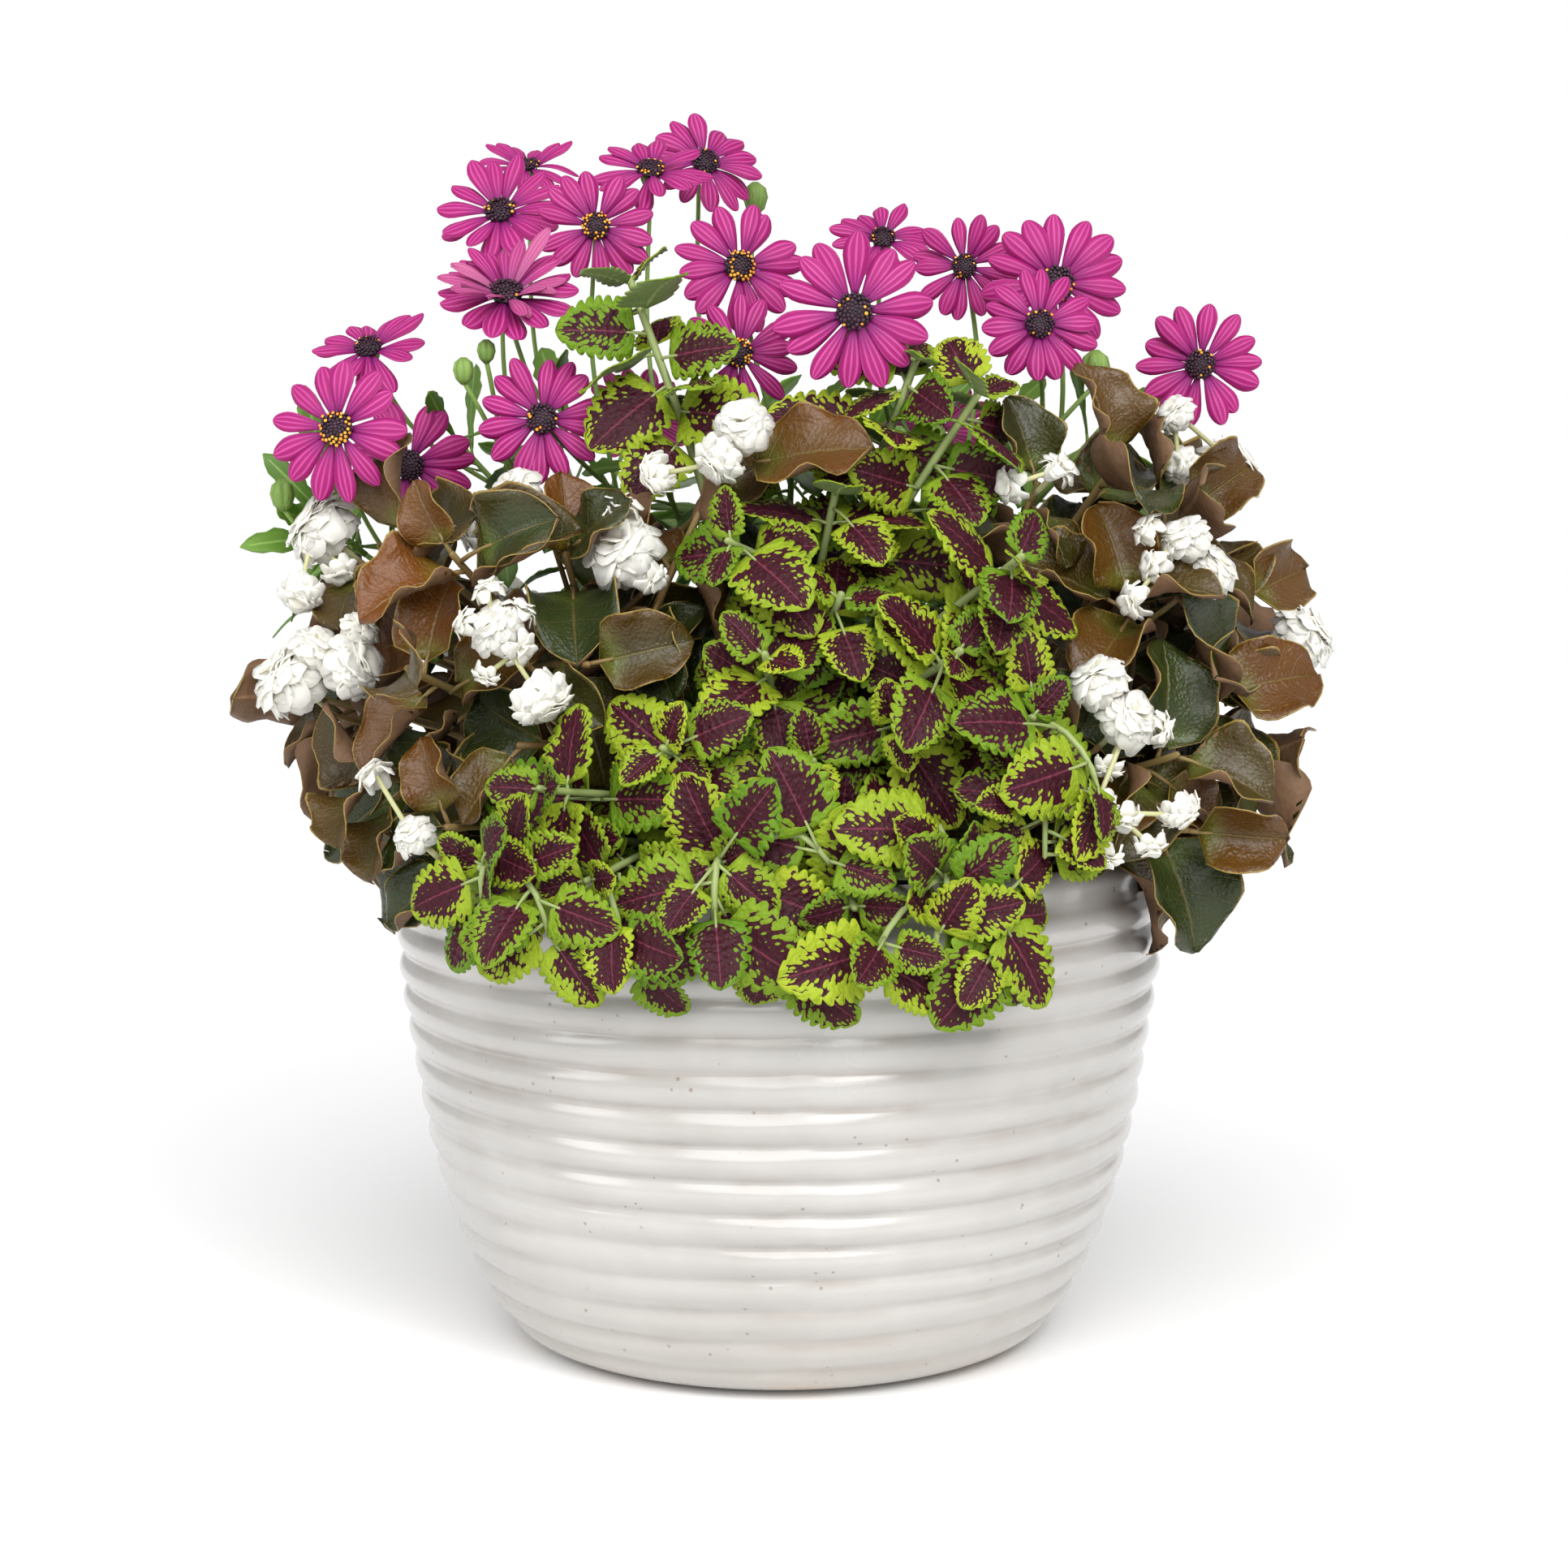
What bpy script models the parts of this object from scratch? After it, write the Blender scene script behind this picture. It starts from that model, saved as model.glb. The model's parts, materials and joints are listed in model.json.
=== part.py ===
"""A planted bowl: osteospermum, double begonia and coleus in a ribbed, glazed pot.

Metres, +Z up. The origin is the centre of the pot's base and -Y is the front.
Every shoot, stem and leaf follows a rule; the lists below hold the places that the plants take,
in millimetres, and what is drawn at random comes from seeded generators.
"""

import math
import random

import bmesh
import bpy
from mathutils import Matrix, Vector
from mathutils.bvhtree import BVHTree

MM = 0.001

# Pot
POT_OUTLINE = [
    (0, 107), (5, 121), (17, 131.5), (32, 140), (63, 153.5), (108, 165), (168, 174), (205, 176), (226, 172),
]
POT_SIDES = 24
RIBS = 13
RIB_LOW, RIB_PITCH = 14, 15.4
RIB_RISE = 1.7
RIM_TOP = 231
POT_WALL = 12
FLOOR_TOP = 15
DRAIN_HOLES, DRAIN_RADIUS, DRAIN_RING = 3, 6, 55

# Soil
SOIL_LEVEL, SOIL_CROWN = 204, 5
ROOT_RADIUS, ROOT_DEPTH = 16, 40
CROWN_SPREAD, STEM_ROOM = 14, 4.3

# Clearances and thicknesses
GAP = 0.3
BLADE = 1.4
KEEP_CLEAR = 0.35
STEM_TRIES, LEAF_TRIES = 80, 14

# The crown of each plant on the soil (x, y)
CROWNS = {
    "osteospermum_stems_leaves": (0, 42),
    "begonia_left_leaves": (-92, -28),
    "begonia_right_leaves": (98, -26),
    "coleus": (0, -88),
}

# Osteospermum blooms: x, y, z of the centre, azimuth and elevation that it faces, diameter
BLOOMS = [
    (-195, -60, 420, -8, 8, 67),
    (-170, -12, 405, 5, 0, 62),
    (-104, -66, 424, 0, 12, 61),
    (-189, -4, 458, -5, 48, 57),
    (-122, -38, 480, 5, 48, 68),
    (-130, 18, 522, -10, 42, 64),
    (-84, -8, 513, 5, 8, 57),
    (-121, 62, 548, 0, 66, 50),
    (-60, 18, 541, 5, 52, 58),
    (-36, 54, 549, 20, 28, 59),
    (-18, -30, 493, 8, 12, 62),
    (-18, -58, 453, 0, 8, 56),
    (32, -90, 469, 0, 5, 71),
    (49, 52, 513, 0, 40, 53),
    (86, 17, 497, -10, 8, 52),
    (126, -12, 487, 5, 5, 70),
    (115, -50, 466, 0, 15, 57),
    (191, -20, 450, -10, 5, 60),
    (-72, 128, 432, 165, 28, 60),
    (78, 126, 424, -165, 28, 62),
]
RAYS = 12
EYE_SHARE, CUP_SHARE = 0.17, 0.13
PRESS, TOUCH = 1.3, 0.7
FORK_PLACES, FORK_RISE = [(0, 0.5), (1, 0.1), (1, 0.6), (2, 0.15), (2, 0.5)], 45

# Osteospermum buds on their own stems: x, y, z, radius
BUDS = [
    (-139, -60, 446, 3.4), (-130, -50, 455, 3.0), (-12, 78, 536, 4.5), (143, -22, 449, 5.0), (-226, -24, 392, 4.2),
]

# Leafy osteospermum shoots: x, y, z of the tip, number of leaves, leaf length
GREEN_SHOOTS = [
    (-206, 14, 372, 5, 64),
    (-152, 12, 418, 3, 50),
    (-100, -20, 430, 4, 52),
    (-58, -40, 412, 3, 46),
    (6, -48, 420, 4, 48),
    (66, -28, 424, 4, 48),
    (100, -8, 424, 3, 46),
    (150, -6, 424, 4, 50),
    (-112, 96, 398, 4, 56),
    (-30, 104, 420, 3, 52),
    (40, 100, 416, 3, 52),
    (112, 92, 400, 4, 56),
    (-66, 166, 330, 4, 58),
    (6, 176, 340, 4, 58),
    (72, 166, 330, 4, 58),
    (-8, 186, 262, 3, 54),
]

# Bunches of double begonia flowers: x, y, z and radius of each head
BUNCHES = {
    "begonia_flowers_01": [(-209, -40, 378, 16), (-196, -52, 357, 7), (-212, -66, 346, 9)],
    "begonia_flowers_02": [(-116, -88, 393, 11.5), (-134, -84, 373, 7)],
    "begonia_flowers_03": [(-68, -108, 369, 16), (-68, -108, 386, 8), (-54, -112, 355, 6.5)],
    "begonia_flowers_04": [
        (-119, -142, 337, 12), (-121, -138, 352, 6.5), (-108, -138, 343, 7.5), (-131, -138, 338, 7),
        (-108, -142, 327, 7.5), (-122, -142, 316, 5.5), (-97, -146, 304, 12),
    ],
    "begonia_flowers_05": [
        (-217, -78, 313, 16.5), (-201, -84, 327, 10), (-182, -88, 318, 14), (-181, -84, 334, 9),
    ],
    "begonia_flowers_06": [(-171, -124, 273, 7), (-153, -148, 251, 8.5)],
    "begonia_flowers_07": [(-16, -118, 421, 11.5), (-27, -120, 404, 10), (-54, -104, 399, 8.5)],
    "begonia_flowers_08": [(173, -62, 428, 8.5), (176, -62, 404, 8), (204, -44, 404, 14.5)],
    "begonia_flowers_09": [(98, -106, 395, 7), (120, -98, 402, 7.5)],
    "begonia_flowers_10": [
        (156, -112, 377, 6.5), (171, -112, 374, 10), (186, -108, 361, 10.5), (158, -116, 361, 6.5),
        (149, -120, 346, 7.5),
    ],
    "begonia_flowers_11": [(237, -50, 330, 17), (224, -56, 322, 9)],
    "begonia_flowers_12": [
        (131, -144, 316, 12), (146, -146, 300, 13), (159, -144, 294, 7), (136, -148, 278, 6),
        (129, -160, 261, 10), (141, -158, 258, 8), (153, -158, 247, 6.5), (167, -152, 259, 8.5),
        (134, -164, 243, 6.5),
    ],
    "begonia_flowers_13": [(-128, 118, 332, 14), (-142, 108, 346, 10)],
    "begonia_flowers_14": [(138, 112, 322, 14), (122, 120, 337, 10)],
}

# Leafy begonia shoots: x, y, z of the tip, number of leaves, leaf length
BEGONIA_SHOOTS = {
    "begonia_left_leaves": [
        (-168, -62, 372, 4, 48),
        (-140, -104, 366, 3, 46),
        (-92, -100, 366, 4, 46),
        (-34, -98, 384, 4, 46),
        (-158, -118, 318, 4, 44),
        (-205, -48, 300, 4, 46),
        (-176, -96, 270, 4, 50),
        (-140, -136, 252, 3, 50),
        (-80, -132, 320, 3, 44),
        (-110, -130, 286, 3, 44),
        (-196, 26, 326, 4, 48),
        (-160, 84, 312, 4, 48),
        (-188, 40, 262, 3, 48),
    ],
    "begonia_right_leaves": [
        (146, -72, 404, 3, 48),
        (112, -84, 396, 2, 44),
        (178, -78, 384, 4, 46),
        (208, -52, 346, 4, 46),
        (150, -112, 352, 3, 42),
        (192, -90, 306, 4, 50),
        (168, -128, 282, 3, 48),
        (205, -58, 276, 4, 52),
        (172, -128, 250, 3, 46),
        (196, 24, 330, 4, 48),
        (160, 84, 316, 4, 48),
        (190, 40, 264, 3, 48),
    ],
}

# Coleus shoots: x, y, z of the tip, the way that the tip points (azimuth, elevation), leaf pairs, leaf length
COLEUS_SHOOTS = [
    (-66, -62, 486, 0, 80, 4, 35),
    (60, -84, 452, 0, 78, 4, 34),
    (86, -100, 436, 35, 60, 2, 34),
    (100, -150, 366, 18, 32, 3, 36),
    (74, -166, 328, 5, 30, 2, 30),
    (104, -160, 300, 22, 22, 3, 32),
    (-6, -152, 326, -5, 32, 3, 34),
    (26, -134, 350, 0, 36, 2, 34),
    (24, -112, 394, 0, 40, 2, 36),
    (-48, -164, 288, -8, 26, 3, 34),
    (-98, -172, 272, -16, 22, 3, 34),
    (-26, -186, 242, -6, 12, 3, 34),
    (30, -194, 226, 4, -8, 3, 34),
    (-78, -186, 236, -18, -5, 3, 32),
    (74, -184, 236, 18, 0, 3, 36),
    (14, -156, 282, 4, 26, 2, 32),
    (48, -158, 296, 8, 24, 2, 30),
    (-122, -176, 240, -38, -10, 2, 32),
    (-22, -130, 372, -6, 40, 2, 32),
]

COLOURS = {
    "glazed_ceramic": (0.80, 0.78, 0.74, 0.22, 0.0),
    "soil": (0.07, 0.045, 0.03, 0.95, 0.0),
    "osteospermum_green": (0.16, 0.36, 0.05, 0.5, 0.0),
    "osteospermum_rays": (0.52, 0.05, 0.33, 0.5, 0.0),
    "osteospermum_disc": (0.05, 0.02, 0.05, 0.6, 0.0),
    "begonia_leaf": (0.13, 0.09, 0.03, 0.25, 0.0),
    "begonia_flower": (0.88, 0.87, 0.80, 0.5, 0.0),
    "coleus_leaf": (0.20, 0.30, 0.04, 0.5, 0.0),
}

# Half outlines of the blades: (share of the length, share of the half width). Teeth are the wider points.
BLADES = {
    "osteospermum": [(0.34, 0.55), (0.66, 1.0), (0.82, 0.6)],
    "begonia": [(0.06, 0.84), (0.42, 1.0), (0.76, 0.66)],
    "coleus": [(0.08, 0.86), (0.36, 1.0), (0.47, 0.78), (0.7, 0.72)],
}
BLADE_WIDTH = {"osteospermum": 0.3, "begonia": 0.88, "coleus": 0.84}
ROOT_INSET = 0.4
MID_RIB = {"osteospermum": 0.5, "begonia": 0.46, "coleus": 0.46}


# Layout: points, directions and routes

def direction(azimuth, elevation):
    """The unit vector at that azimuth (0 is the front, -Y, and 90 is +X) and elevation, in degrees."""
    a, e = math.radians(azimuth), math.radians(elevation)
    return Vector((math.sin(a) * math.cos(e), -math.cos(a) * math.cos(e), math.sin(e)))


def across(along, facing):
    """The unit vector to the right of along, seen from the side that facing points to."""
    side = along.cross(facing)
    if side.length < 1e-6:
        side = along.orthogonal()
    return side.normalized()


def route(start, leave, arrive, end, count):
    """Points of the cubic curve that leaves start along leave and reaches end along arrive."""
    controls = [start, start + leave, end - arrive, end]
    points = []
    for i in range(count):
        t = i / (count - 1)
        weights = ((1 - t) ** 3, 3 * t * (1 - t) ** 2, 3 * t * t * (1 - t), t ** 3)
        points.append(sum((w * c for w, c in zip(weights, controls)), Vector()))
    return points


def crown_points(node, ends):
    """Where each stem starts in its plant's crown: on the side that it leans to, the longest ones outermost."""
    x, y = CROWNS[node]
    order = sorted(range(len(ends)), key=lambda i: math.hypot(ends[i].x - x, ends[i].y - y) - 0.5 * ends[i].z)
    starts = [None] * len(ends)
    placed_starts = []
    for rank, i in enumerate(order):
        lean = math.atan2(ends[i].y - y, ends[i].x - x)
        ring = CROWN_SPREAD * math.sqrt((rank + 0.5) / len(ends))
        best = None
        for step in range(72):
            aside = math.radians(5) * ((step + 1) // 2) * (1 if step % 2 else -1)
            angle = lean + aside
            spot = Vector((x + ring * math.cos(angle), y + ring * math.sin(angle), SOIL_LEVEL + 10))
            room = min([(spot - other).length for other in placed_starts], default=9)
            if best is None or min(room, STEM_ROOM) > best[0]:
                best = (min(room, STEM_ROOM), spot)
        starts[i] = best[1]
        placed_starts.append(best[1])
    return starts


def along_route(points, back):
    """The point that lies back millimetres before the end of the route, and the way that it runs there."""
    for a, b in zip(points[-2::-1], points[:0:-1]):
        length = (b - a).length
        if back <= length:
            return b + (a - b) * (back / length), (b - a).normalized()
        back -= length
    return points[0].copy(), (points[1] - points[0]).normalized()


# Mesh pieces, as bmesh

def blade(kind, root, base, tip, facing, cup, arch):
    """A leaf: a stalk from root to base and a blade from base to tip, thick at its midrib and thin at its rim.
    cup lifts its edges, and arch bends its length."""
    bm = bmesh.new()
    length = (tip - base).length
    along = (tip - base).normalized()
    side = across(along, facing)
    normal = side.cross(along).normalized()
    half = length * BLADE_WIDTH[kind] / 2
    outline = BLADES[kind]
    levels = (0.0, MID_RIB[kind])

    def at(t, s, rise=0.0):
        lift = arch * length * 4 * t * (1 - t) + cup * half * s * s + rise
        return bm.verts.new(base + along * (length * t) + side * (half * s) + normal * lift)

    foot = bm.verts.new(root)
    end = at(1.0, 0)
    rims = [[at(t, sign * s) for t, s in outline] for sign in (-1, 1)]
    for rise in (BLADE / 2, -BLADE / 2):
        ribs = [at(t, 0, rise) for t in levels]
        for rim in rims:
            fan(bm, foot, end, ribs, levels, rim, [t for t, s in outline])
    return finished(bm)


def fan(bm, foot, end, ribs, rib_levels, rim, rim_levels):
    """Triangles between a blade's midrib and one side of its rim, the same ones on both faces."""
    k = 0
    bm.faces.new([foot, ribs[0], rim[0]])
    for i in range(len(rim) - 1):
        while k < len(ribs) - 1 and rim_levels[i] + rim_levels[i + 1] > rib_levels[k] + rib_levels[k + 1]:
            bm.faces.new([ribs[k], ribs[k + 1], rim[i]])
            k += 1
        bm.faces.new([ribs[k], rim[i + 1], rim[i]])
    for low, high in zip(ribs[k:], ribs[k + 1:] + [end]):
        bm.faces.new([low, high, rim[-1]])


def rays(diameter, rng):
    """Ray petals about +Z, each with its own pitch and a ridge down its middle, on one body.
    Returns it with the heights that the eye and the cup of bracts have to keep to."""
    bm = bmesh.new()
    radius = diameter / 2
    inner, middle = 0.2 * radius, 0.6 * radius
    step = 2 * math.pi / RAYS
    turns = [Matrix.Rotation((i - 0.5) * step, 3, "Z") for i in range(RAYS)]
    ring = [bm.verts.new(turn @ Vector((inner, 0, 0))) for turn in turns]
    hubs = [bm.verts.new((0, 0, rise)) for rise in (BLADE / 2, -BLADE / 2)]
    high, low = BLADE / 2, -BLADE / 2
    for i in range(RAYS):
        pitch = math.tan(math.radians(rng.uniform(-5, 7)))
        reach = radius * rng.uniform(0.93, 1.0)
        turn = Matrix.Rotation(i * step + rng.uniform(-0.03, 0.03), 3, "Z")

        def at(out, aside, rise=0.0):
            return bm.verts.new(turn @ Vector((out, aside, (out - inner) * pitch + rise)))

        right, left = at(0.84 * reach, -0.17 * radius), at(0.84 * reach, 0.17 * radius)
        end = at(reach, 0)
        slope = (middle - inner) * pitch / middle * inner
        high, low = max(high, BLADE / 2 + slope), min(low, slope - BLADE / 2)
        for hub, rise in zip(hubs, (BLADE / 2, -BLADE / 2)):
            ridge = at(middle, 0, rise)
            around = [ring[i], right, end, left, ring[(i + 1) % RAYS], hub]
            for a, b in zip(around, around[1:] + around[:1]):
                bm.faces.new([a, b, ridge])
    return finished(bm), high + GAP, low - GAP


def disc(diameter):
    """The dark eye of a bloom: a low dome whose florets stand up in turn. Its foot is at z = 0."""
    bm = bmesh.new()
    radius = EYE_SHARE * diameter / 2
    sides = 6
    height = 0.11 * diameter / 2
    rings = [(1.0, 0.0, 0.0), (0.8, 0.9, 0.2)]
    rows = []
    for share, level, jag in rings:
        row = []
        for i in range(sides):
            turn = Matrix.Rotation(2 * math.pi * i / sides, 3, "Z")
            up = height * (level + jag * (1 if i % 2 else -1))
            row.append(bm.verts.new(turn @ Vector((radius * share, 0, up))))
        rows.append(row)
    bm.faces.new(rows[0][::-1])
    for low, high in zip(rows, rows[1:]):
        for i in range(sides):
            j = (i + 1) % sides
            bm.faces.new([low[i], low[j], high[j], high[i]])
    top = bm.verts.new((0, 0, height * 0.95))
    for i in range(sides):
        bm.faces.new([rows[-1][i], rows[-1][(i + 1) % sides], top])
    return finished(bm)


def head(radius, rng):
    """A double flower: petal tips stand out in turn from row to row of a round body."""
    bm = bmesh.new()
    sides, rows = (8 if radius > 13 else 6), (4 if radius > 9 else 3)
    bmesh.ops.create_uvsphere(bm, u_segments=sides, v_segments=rows, radius=radius)
    for v in bm.verts:
        turn = round(math.atan2(v.co.y, v.co.x) / (2 * math.pi / sides))
        row = round((v.co.z / radius + 1) * 2)
        lobe = 1.0 if (turn + row) % 2 else 0.8
        v.co *= lobe * rng.uniform(0.94, 1.04)
        v.co.z *= 0.86
    return finished(bm)


def tube(points, radii, sides=4):
    """A stem through points as a curve with filled caps, turned into a mesh whose caps are welded."""
    curve = bpy.data.curves.new("stem", "CURVE")
    curve.dimensions = "3D"
    curve.bevel_depth = 1.0
    curve.bevel_resolution = (sides - 4) // 2
    curve.use_fill_caps = True
    spline = curve.splines.new("POLY")
    spline.points.add(len(points) - 1)
    for place, point, radius in zip(spline.points, points, radii):
        place.co = (*point, 1)
        place.radius = radius
    holder = bpy.data.objects.new("stem", curve)
    bpy.context.scene.collection.objects.link(holder)
    graph = bpy.context.evaluated_depsgraph_get()
    mesh = bpy.data.meshes.new_from_object(holder.evaluated_get(graph))
    bpy.data.objects.remove(holder)
    bpy.data.curves.remove(curve)
    bm = bmesh.new()
    bm.from_mesh(mesh)
    bpy.data.meshes.remove(mesh)
    bmesh.ops.remove_doubles(bm, verts=bm.verts, dist=0.001)
    return finished(bm)


def turned(outline, sides):
    """A closed solid of revolution about Z. The outline is a list of (radius, height), from bottom to top."""
    bm = bmesh.new()
    rows = []
    for radius, height in outline:
        if radius == 0:
            rows.append([bm.verts.new((0, 0, height))])
        else:
            turns = [2 * math.pi * i / sides for i in range(sides)]
            rows.append([bm.verts.new((radius * math.cos(a), radius * math.sin(a), height)) for a in turns])
    for low, high in zip(rows, rows[1:]):
        for i in range(sides):
            j = (i + 1) % sides
            if len(low) == 1:
                bm.faces.new([low[0], high[j], high[i]])
            elif len(high) == 1:
                bm.faces.new([low[i], low[j], high[0]])
            else:
                bm.faces.new([low[i], low[j], high[j], high[i]])
    return finished(bm)


def finished(bm):
    """Closes the work on a piece: flat faces become triangles and all of them point out."""
    bmesh.ops.triangulate(bm, faces=bm.faces)
    bmesh.ops.recalc_face_normals(bm, faces=bm.faces)
    if bm.calc_volume(signed=True) < 0:
        bmesh.ops.reverse_faces(bm, faces=bm.faces)
    bm.normal_update()
    return bm


# The planting: pieces sorted by node, and what keeps them clear of each other

class Planting:
    """Holds the pieces of each node, and tells whether a new one would cross what is already there."""

    def __init__(self):
        self.pieces = {}
        self.taken = []

    def shape_of(self, bm):
        points = [v.co + v.normal * KEEP_CLEAR for v in bm.verts]
        faces = [[v.index for v in f.verts] for f in bm.faces]
        low = Vector(min(p[i] for p in points) for i in range(3))
        high = Vector(max(p[i] for p in points) for i in range(3))
        return low, high, BVHTree.FromPolygons(points, faces)

    def crossing(self, bm, allowed=()):
        """The node of the first piece that bm would cross, apart from the pieces whose names are allowed."""
        bm.verts.index_update()
        low, high, tree = self.shape_of(bm)
        for name, node, (l, h, t) in self.taken:
            if name in allowed or any(low[i] > h[i] or high[i] < l[i] for i in range(3)):
                continue
            if tree.overlap(t):
                return name
        return None

    def add(self, bm, node, name=None):
        bm.verts.index_update()
        name = name or f"{node} {len(self.taken)}"
        self.pieces.setdefault(node, []).append(bm)
        self.taken.append((name, node, self.shape_of(bm)))
        return name


def placed(bm, origin, facing, roll):
    """Turns a piece from +Z to facing and moves it to origin."""
    turn = facing.to_track_quat("Z", "Y").to_matrix().to_4x4()
    matrix = Matrix.Translation(origin) @ turn @ Matrix.Rotation(roll, 4, "Z")
    bmesh.ops.transform(bm, matrix=matrix, verts=bm.verts)
    return bm


def plant_stem(garden, node, start, leave, arrive, end, radii, rng, allowed=(), tail=()):
    """A stem that swings aside until it crosses nothing. tail adds (point, radius) pairs to its end."""
    for attempt in range(STEM_TRIES):
        swing = Vector((rng.uniform(-1, 1), rng.uniform(-1, 1), rng.uniform(-0.4, 0.6))) * (attempt * 1.5)
        points = route(start, leave + swing, arrive, end, len(radii))
        stem = tube(points + [point for point, radius in tail], radii + [radius for point, radius in tail])
        blocked = garden.crossing(stem, {crown_name(node), *allowed})
        if not blocked or attempt == STEM_TRIES - 1:
            break
        stem.free()
    if blocked:
        print("stem of", node, "to", [round(c) for c in end], "still crosses", blocked)
    return garden.add(stem, node), points


def crown_name(node):
    return node + " crown"


def try_leaf(garden, node, stem, kind, at, out, facing, stalk, length, cup, arch, rng):
    """Adds a leaf, turned or shortened until it is clear. Returns False where no place was free."""
    for attempt in range(LEAF_TRIES):
        wobble = 0.08 * attempt
        turn = Matrix.Rotation(rng.uniform(-wobble, wobble), 3, facing) @ Matrix.Rotation(
            rng.uniform(-wobble, wobble), 3, across(out, facing)
        )
        way, face = turn @ out, turn @ facing
        size = length * (1 - 0.025 * attempt)
        root = at + way * ROOT_INSET
        base = at + way * (stalk + 2)
        tip = base + (way * 0.94 - face * 0.2).normalized() * size
        leaf = blade(kind, root, base, tip, face, cup, arch)
        if not garden.crossing(leaf, {stem}):
            garden.add(leaf, node)
            return True
        leaf.free()
    return False


def pot_outline():
    """(radius, height) of the pot's outside at each rib's valley and crest, from its foot to its rim."""
    levels = [0, 4]
    for i in range(RIBS):
        valley = RIB_LOW + i * RIB_PITCH
        levels += [valley, valley + RIB_PITCH / 2]
    levels.append(RIB_LOW + RIBS * RIB_PITCH)
    rows = []
    for i, z in enumerate(levels):
        rise = 0 if i < 2 else (RIB_RISE if i % 2 else -RIB_RISE)
        rows.append((pot_radius(z) + rise, z))
    return rows


def pot_radius(z):
    """The pot's outer radius at a height, ribs left out: POT_OUTLINE read as a smooth curve."""
    points = POT_OUTLINE
    if z >= points[-1][0]:
        return points[-1][1]
    k = max(i for i in range(len(points) - 1) if points[i][0] <= z)
    (z0, r0), (z1, r1) = points[k], points[k + 1]
    slopes = []
    for j in (k, k + 1):
        a, b = points[max(j - 1, 0)], points[min(j + 1, len(points) - 1)]
        slopes.append((b[1] - a[1]) / (b[0] - a[0]))
    t = (z - z0) / (z1 - z0)
    h = z1 - z0
    return (
        r0 * (2 * t ** 3 - 3 * t ** 2 + 1) + slopes[0] * h * (t ** 3 - 2 * t ** 2 + t)
        + r1 * (3 * t ** 2 - 2 * t ** 3) + slopes[1] * h * (t ** 3 - t ** 2)
    )


def inner_wall():
    """(radius, height) up the inside of the pot, from the floor's edge to just under the rim."""
    levels = [(FLOOR_TOP, 108), (FLOOR_TOP + 14, 124), (80, pot_radius(80) - POT_WALL)]
    return [(r, z) for z, r in levels] + [(pot_radius(215) - POT_WALL, SOIL_LEVEL)]


def make_pot(garden):
    outside = pot_outline()
    top = outside[-1]
    rim = [(top[0] - 1.5, RIM_TOP - 4), (top[0] - 5.5, RIM_TOP), (top[0] - 10.5, RIM_TOP - 3)]
    inside = inner_wall()[::-1]
    profile = [(0, 0)] + outside + rim + inside + [(0, FLOOR_TOP)]
    garden.add(turned(profile, POT_SIDES), "pot")


def make_soil(garden):
    wall = [(r - GAP, z) for r, z in inner_wall()]
    wall[0] = (wall[0][0], FLOOR_TOP + GAP)
    profile = [(0, FLOOR_TOP + GAP)] + wall + [(0, SOIL_LEVEL + SOIL_CROWN)]
    garden.add(turned(profile, POT_SIDES), "soil")


def make_crowns(garden):
    for node, (x, y) in CROWNS.items():
        foot = GAP - ROOT_DEPTH
        levels = [(0, foot), (ROOT_RADIUS, foot), (ROOT_RADIUS, 9), (ROOT_RADIUS - 4, 13), (0, 13)]
        crown = turned([(r, z + SOIL_LEVEL) for r, z in levels], 8)
        bmesh.ops.translate(crown, verts=crown.verts, vec=(x, y, 0))
        garden.add(crown, node, crown_name(node))


def make_blooms(garden):
    """Petals and eye of each bloom, each a node, in the order of BLOOMS. Returns the end of each stem's cup."""
    cups = []
    for number, (x, y, z, azimuth, elevation, diameter) in enumerate(BLOOMS, 1):
        rng = random.Random(100 + number)
        facing = direction(azimuth, elevation)
        centre = Vector((x, y, z))
        petals, high, low = rays(diameter, rng)
        roll = rng.uniform(0, 1)
        petals = placed(petals, centre, facing, roll)
        name = f"bloom_{number:02d}"
        blocked = garden.crossing(petals)
        if blocked:
            print(name, "petals cross", blocked)
        garden.add(petals, name + "_petals", name + "_petals")
        eye = placed(disc(diameter), centre + facing * high, facing, rng.uniform(0, 1))
        garden.add(eye, name + "_eye")
        cups.append(centre + facing * low)
    return cups


def pressed(heads):
    """Heads as (centre, radius), each small enough to sink no deeper than PRESS of its size into a neighbour."""
    spots = [(Vector(h[:3]), h[3]) for h in heads]
    room = []
    for i, (centre, radius) in enumerate(spots):
        others = [spot for j, spot in enumerate(spots) if j != i]
        limits = [(centre - c).length * PRESS * radius / (radius + r) for c, r in others]
        room.append((centre, min(limits + [radius])))
    return room


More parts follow.
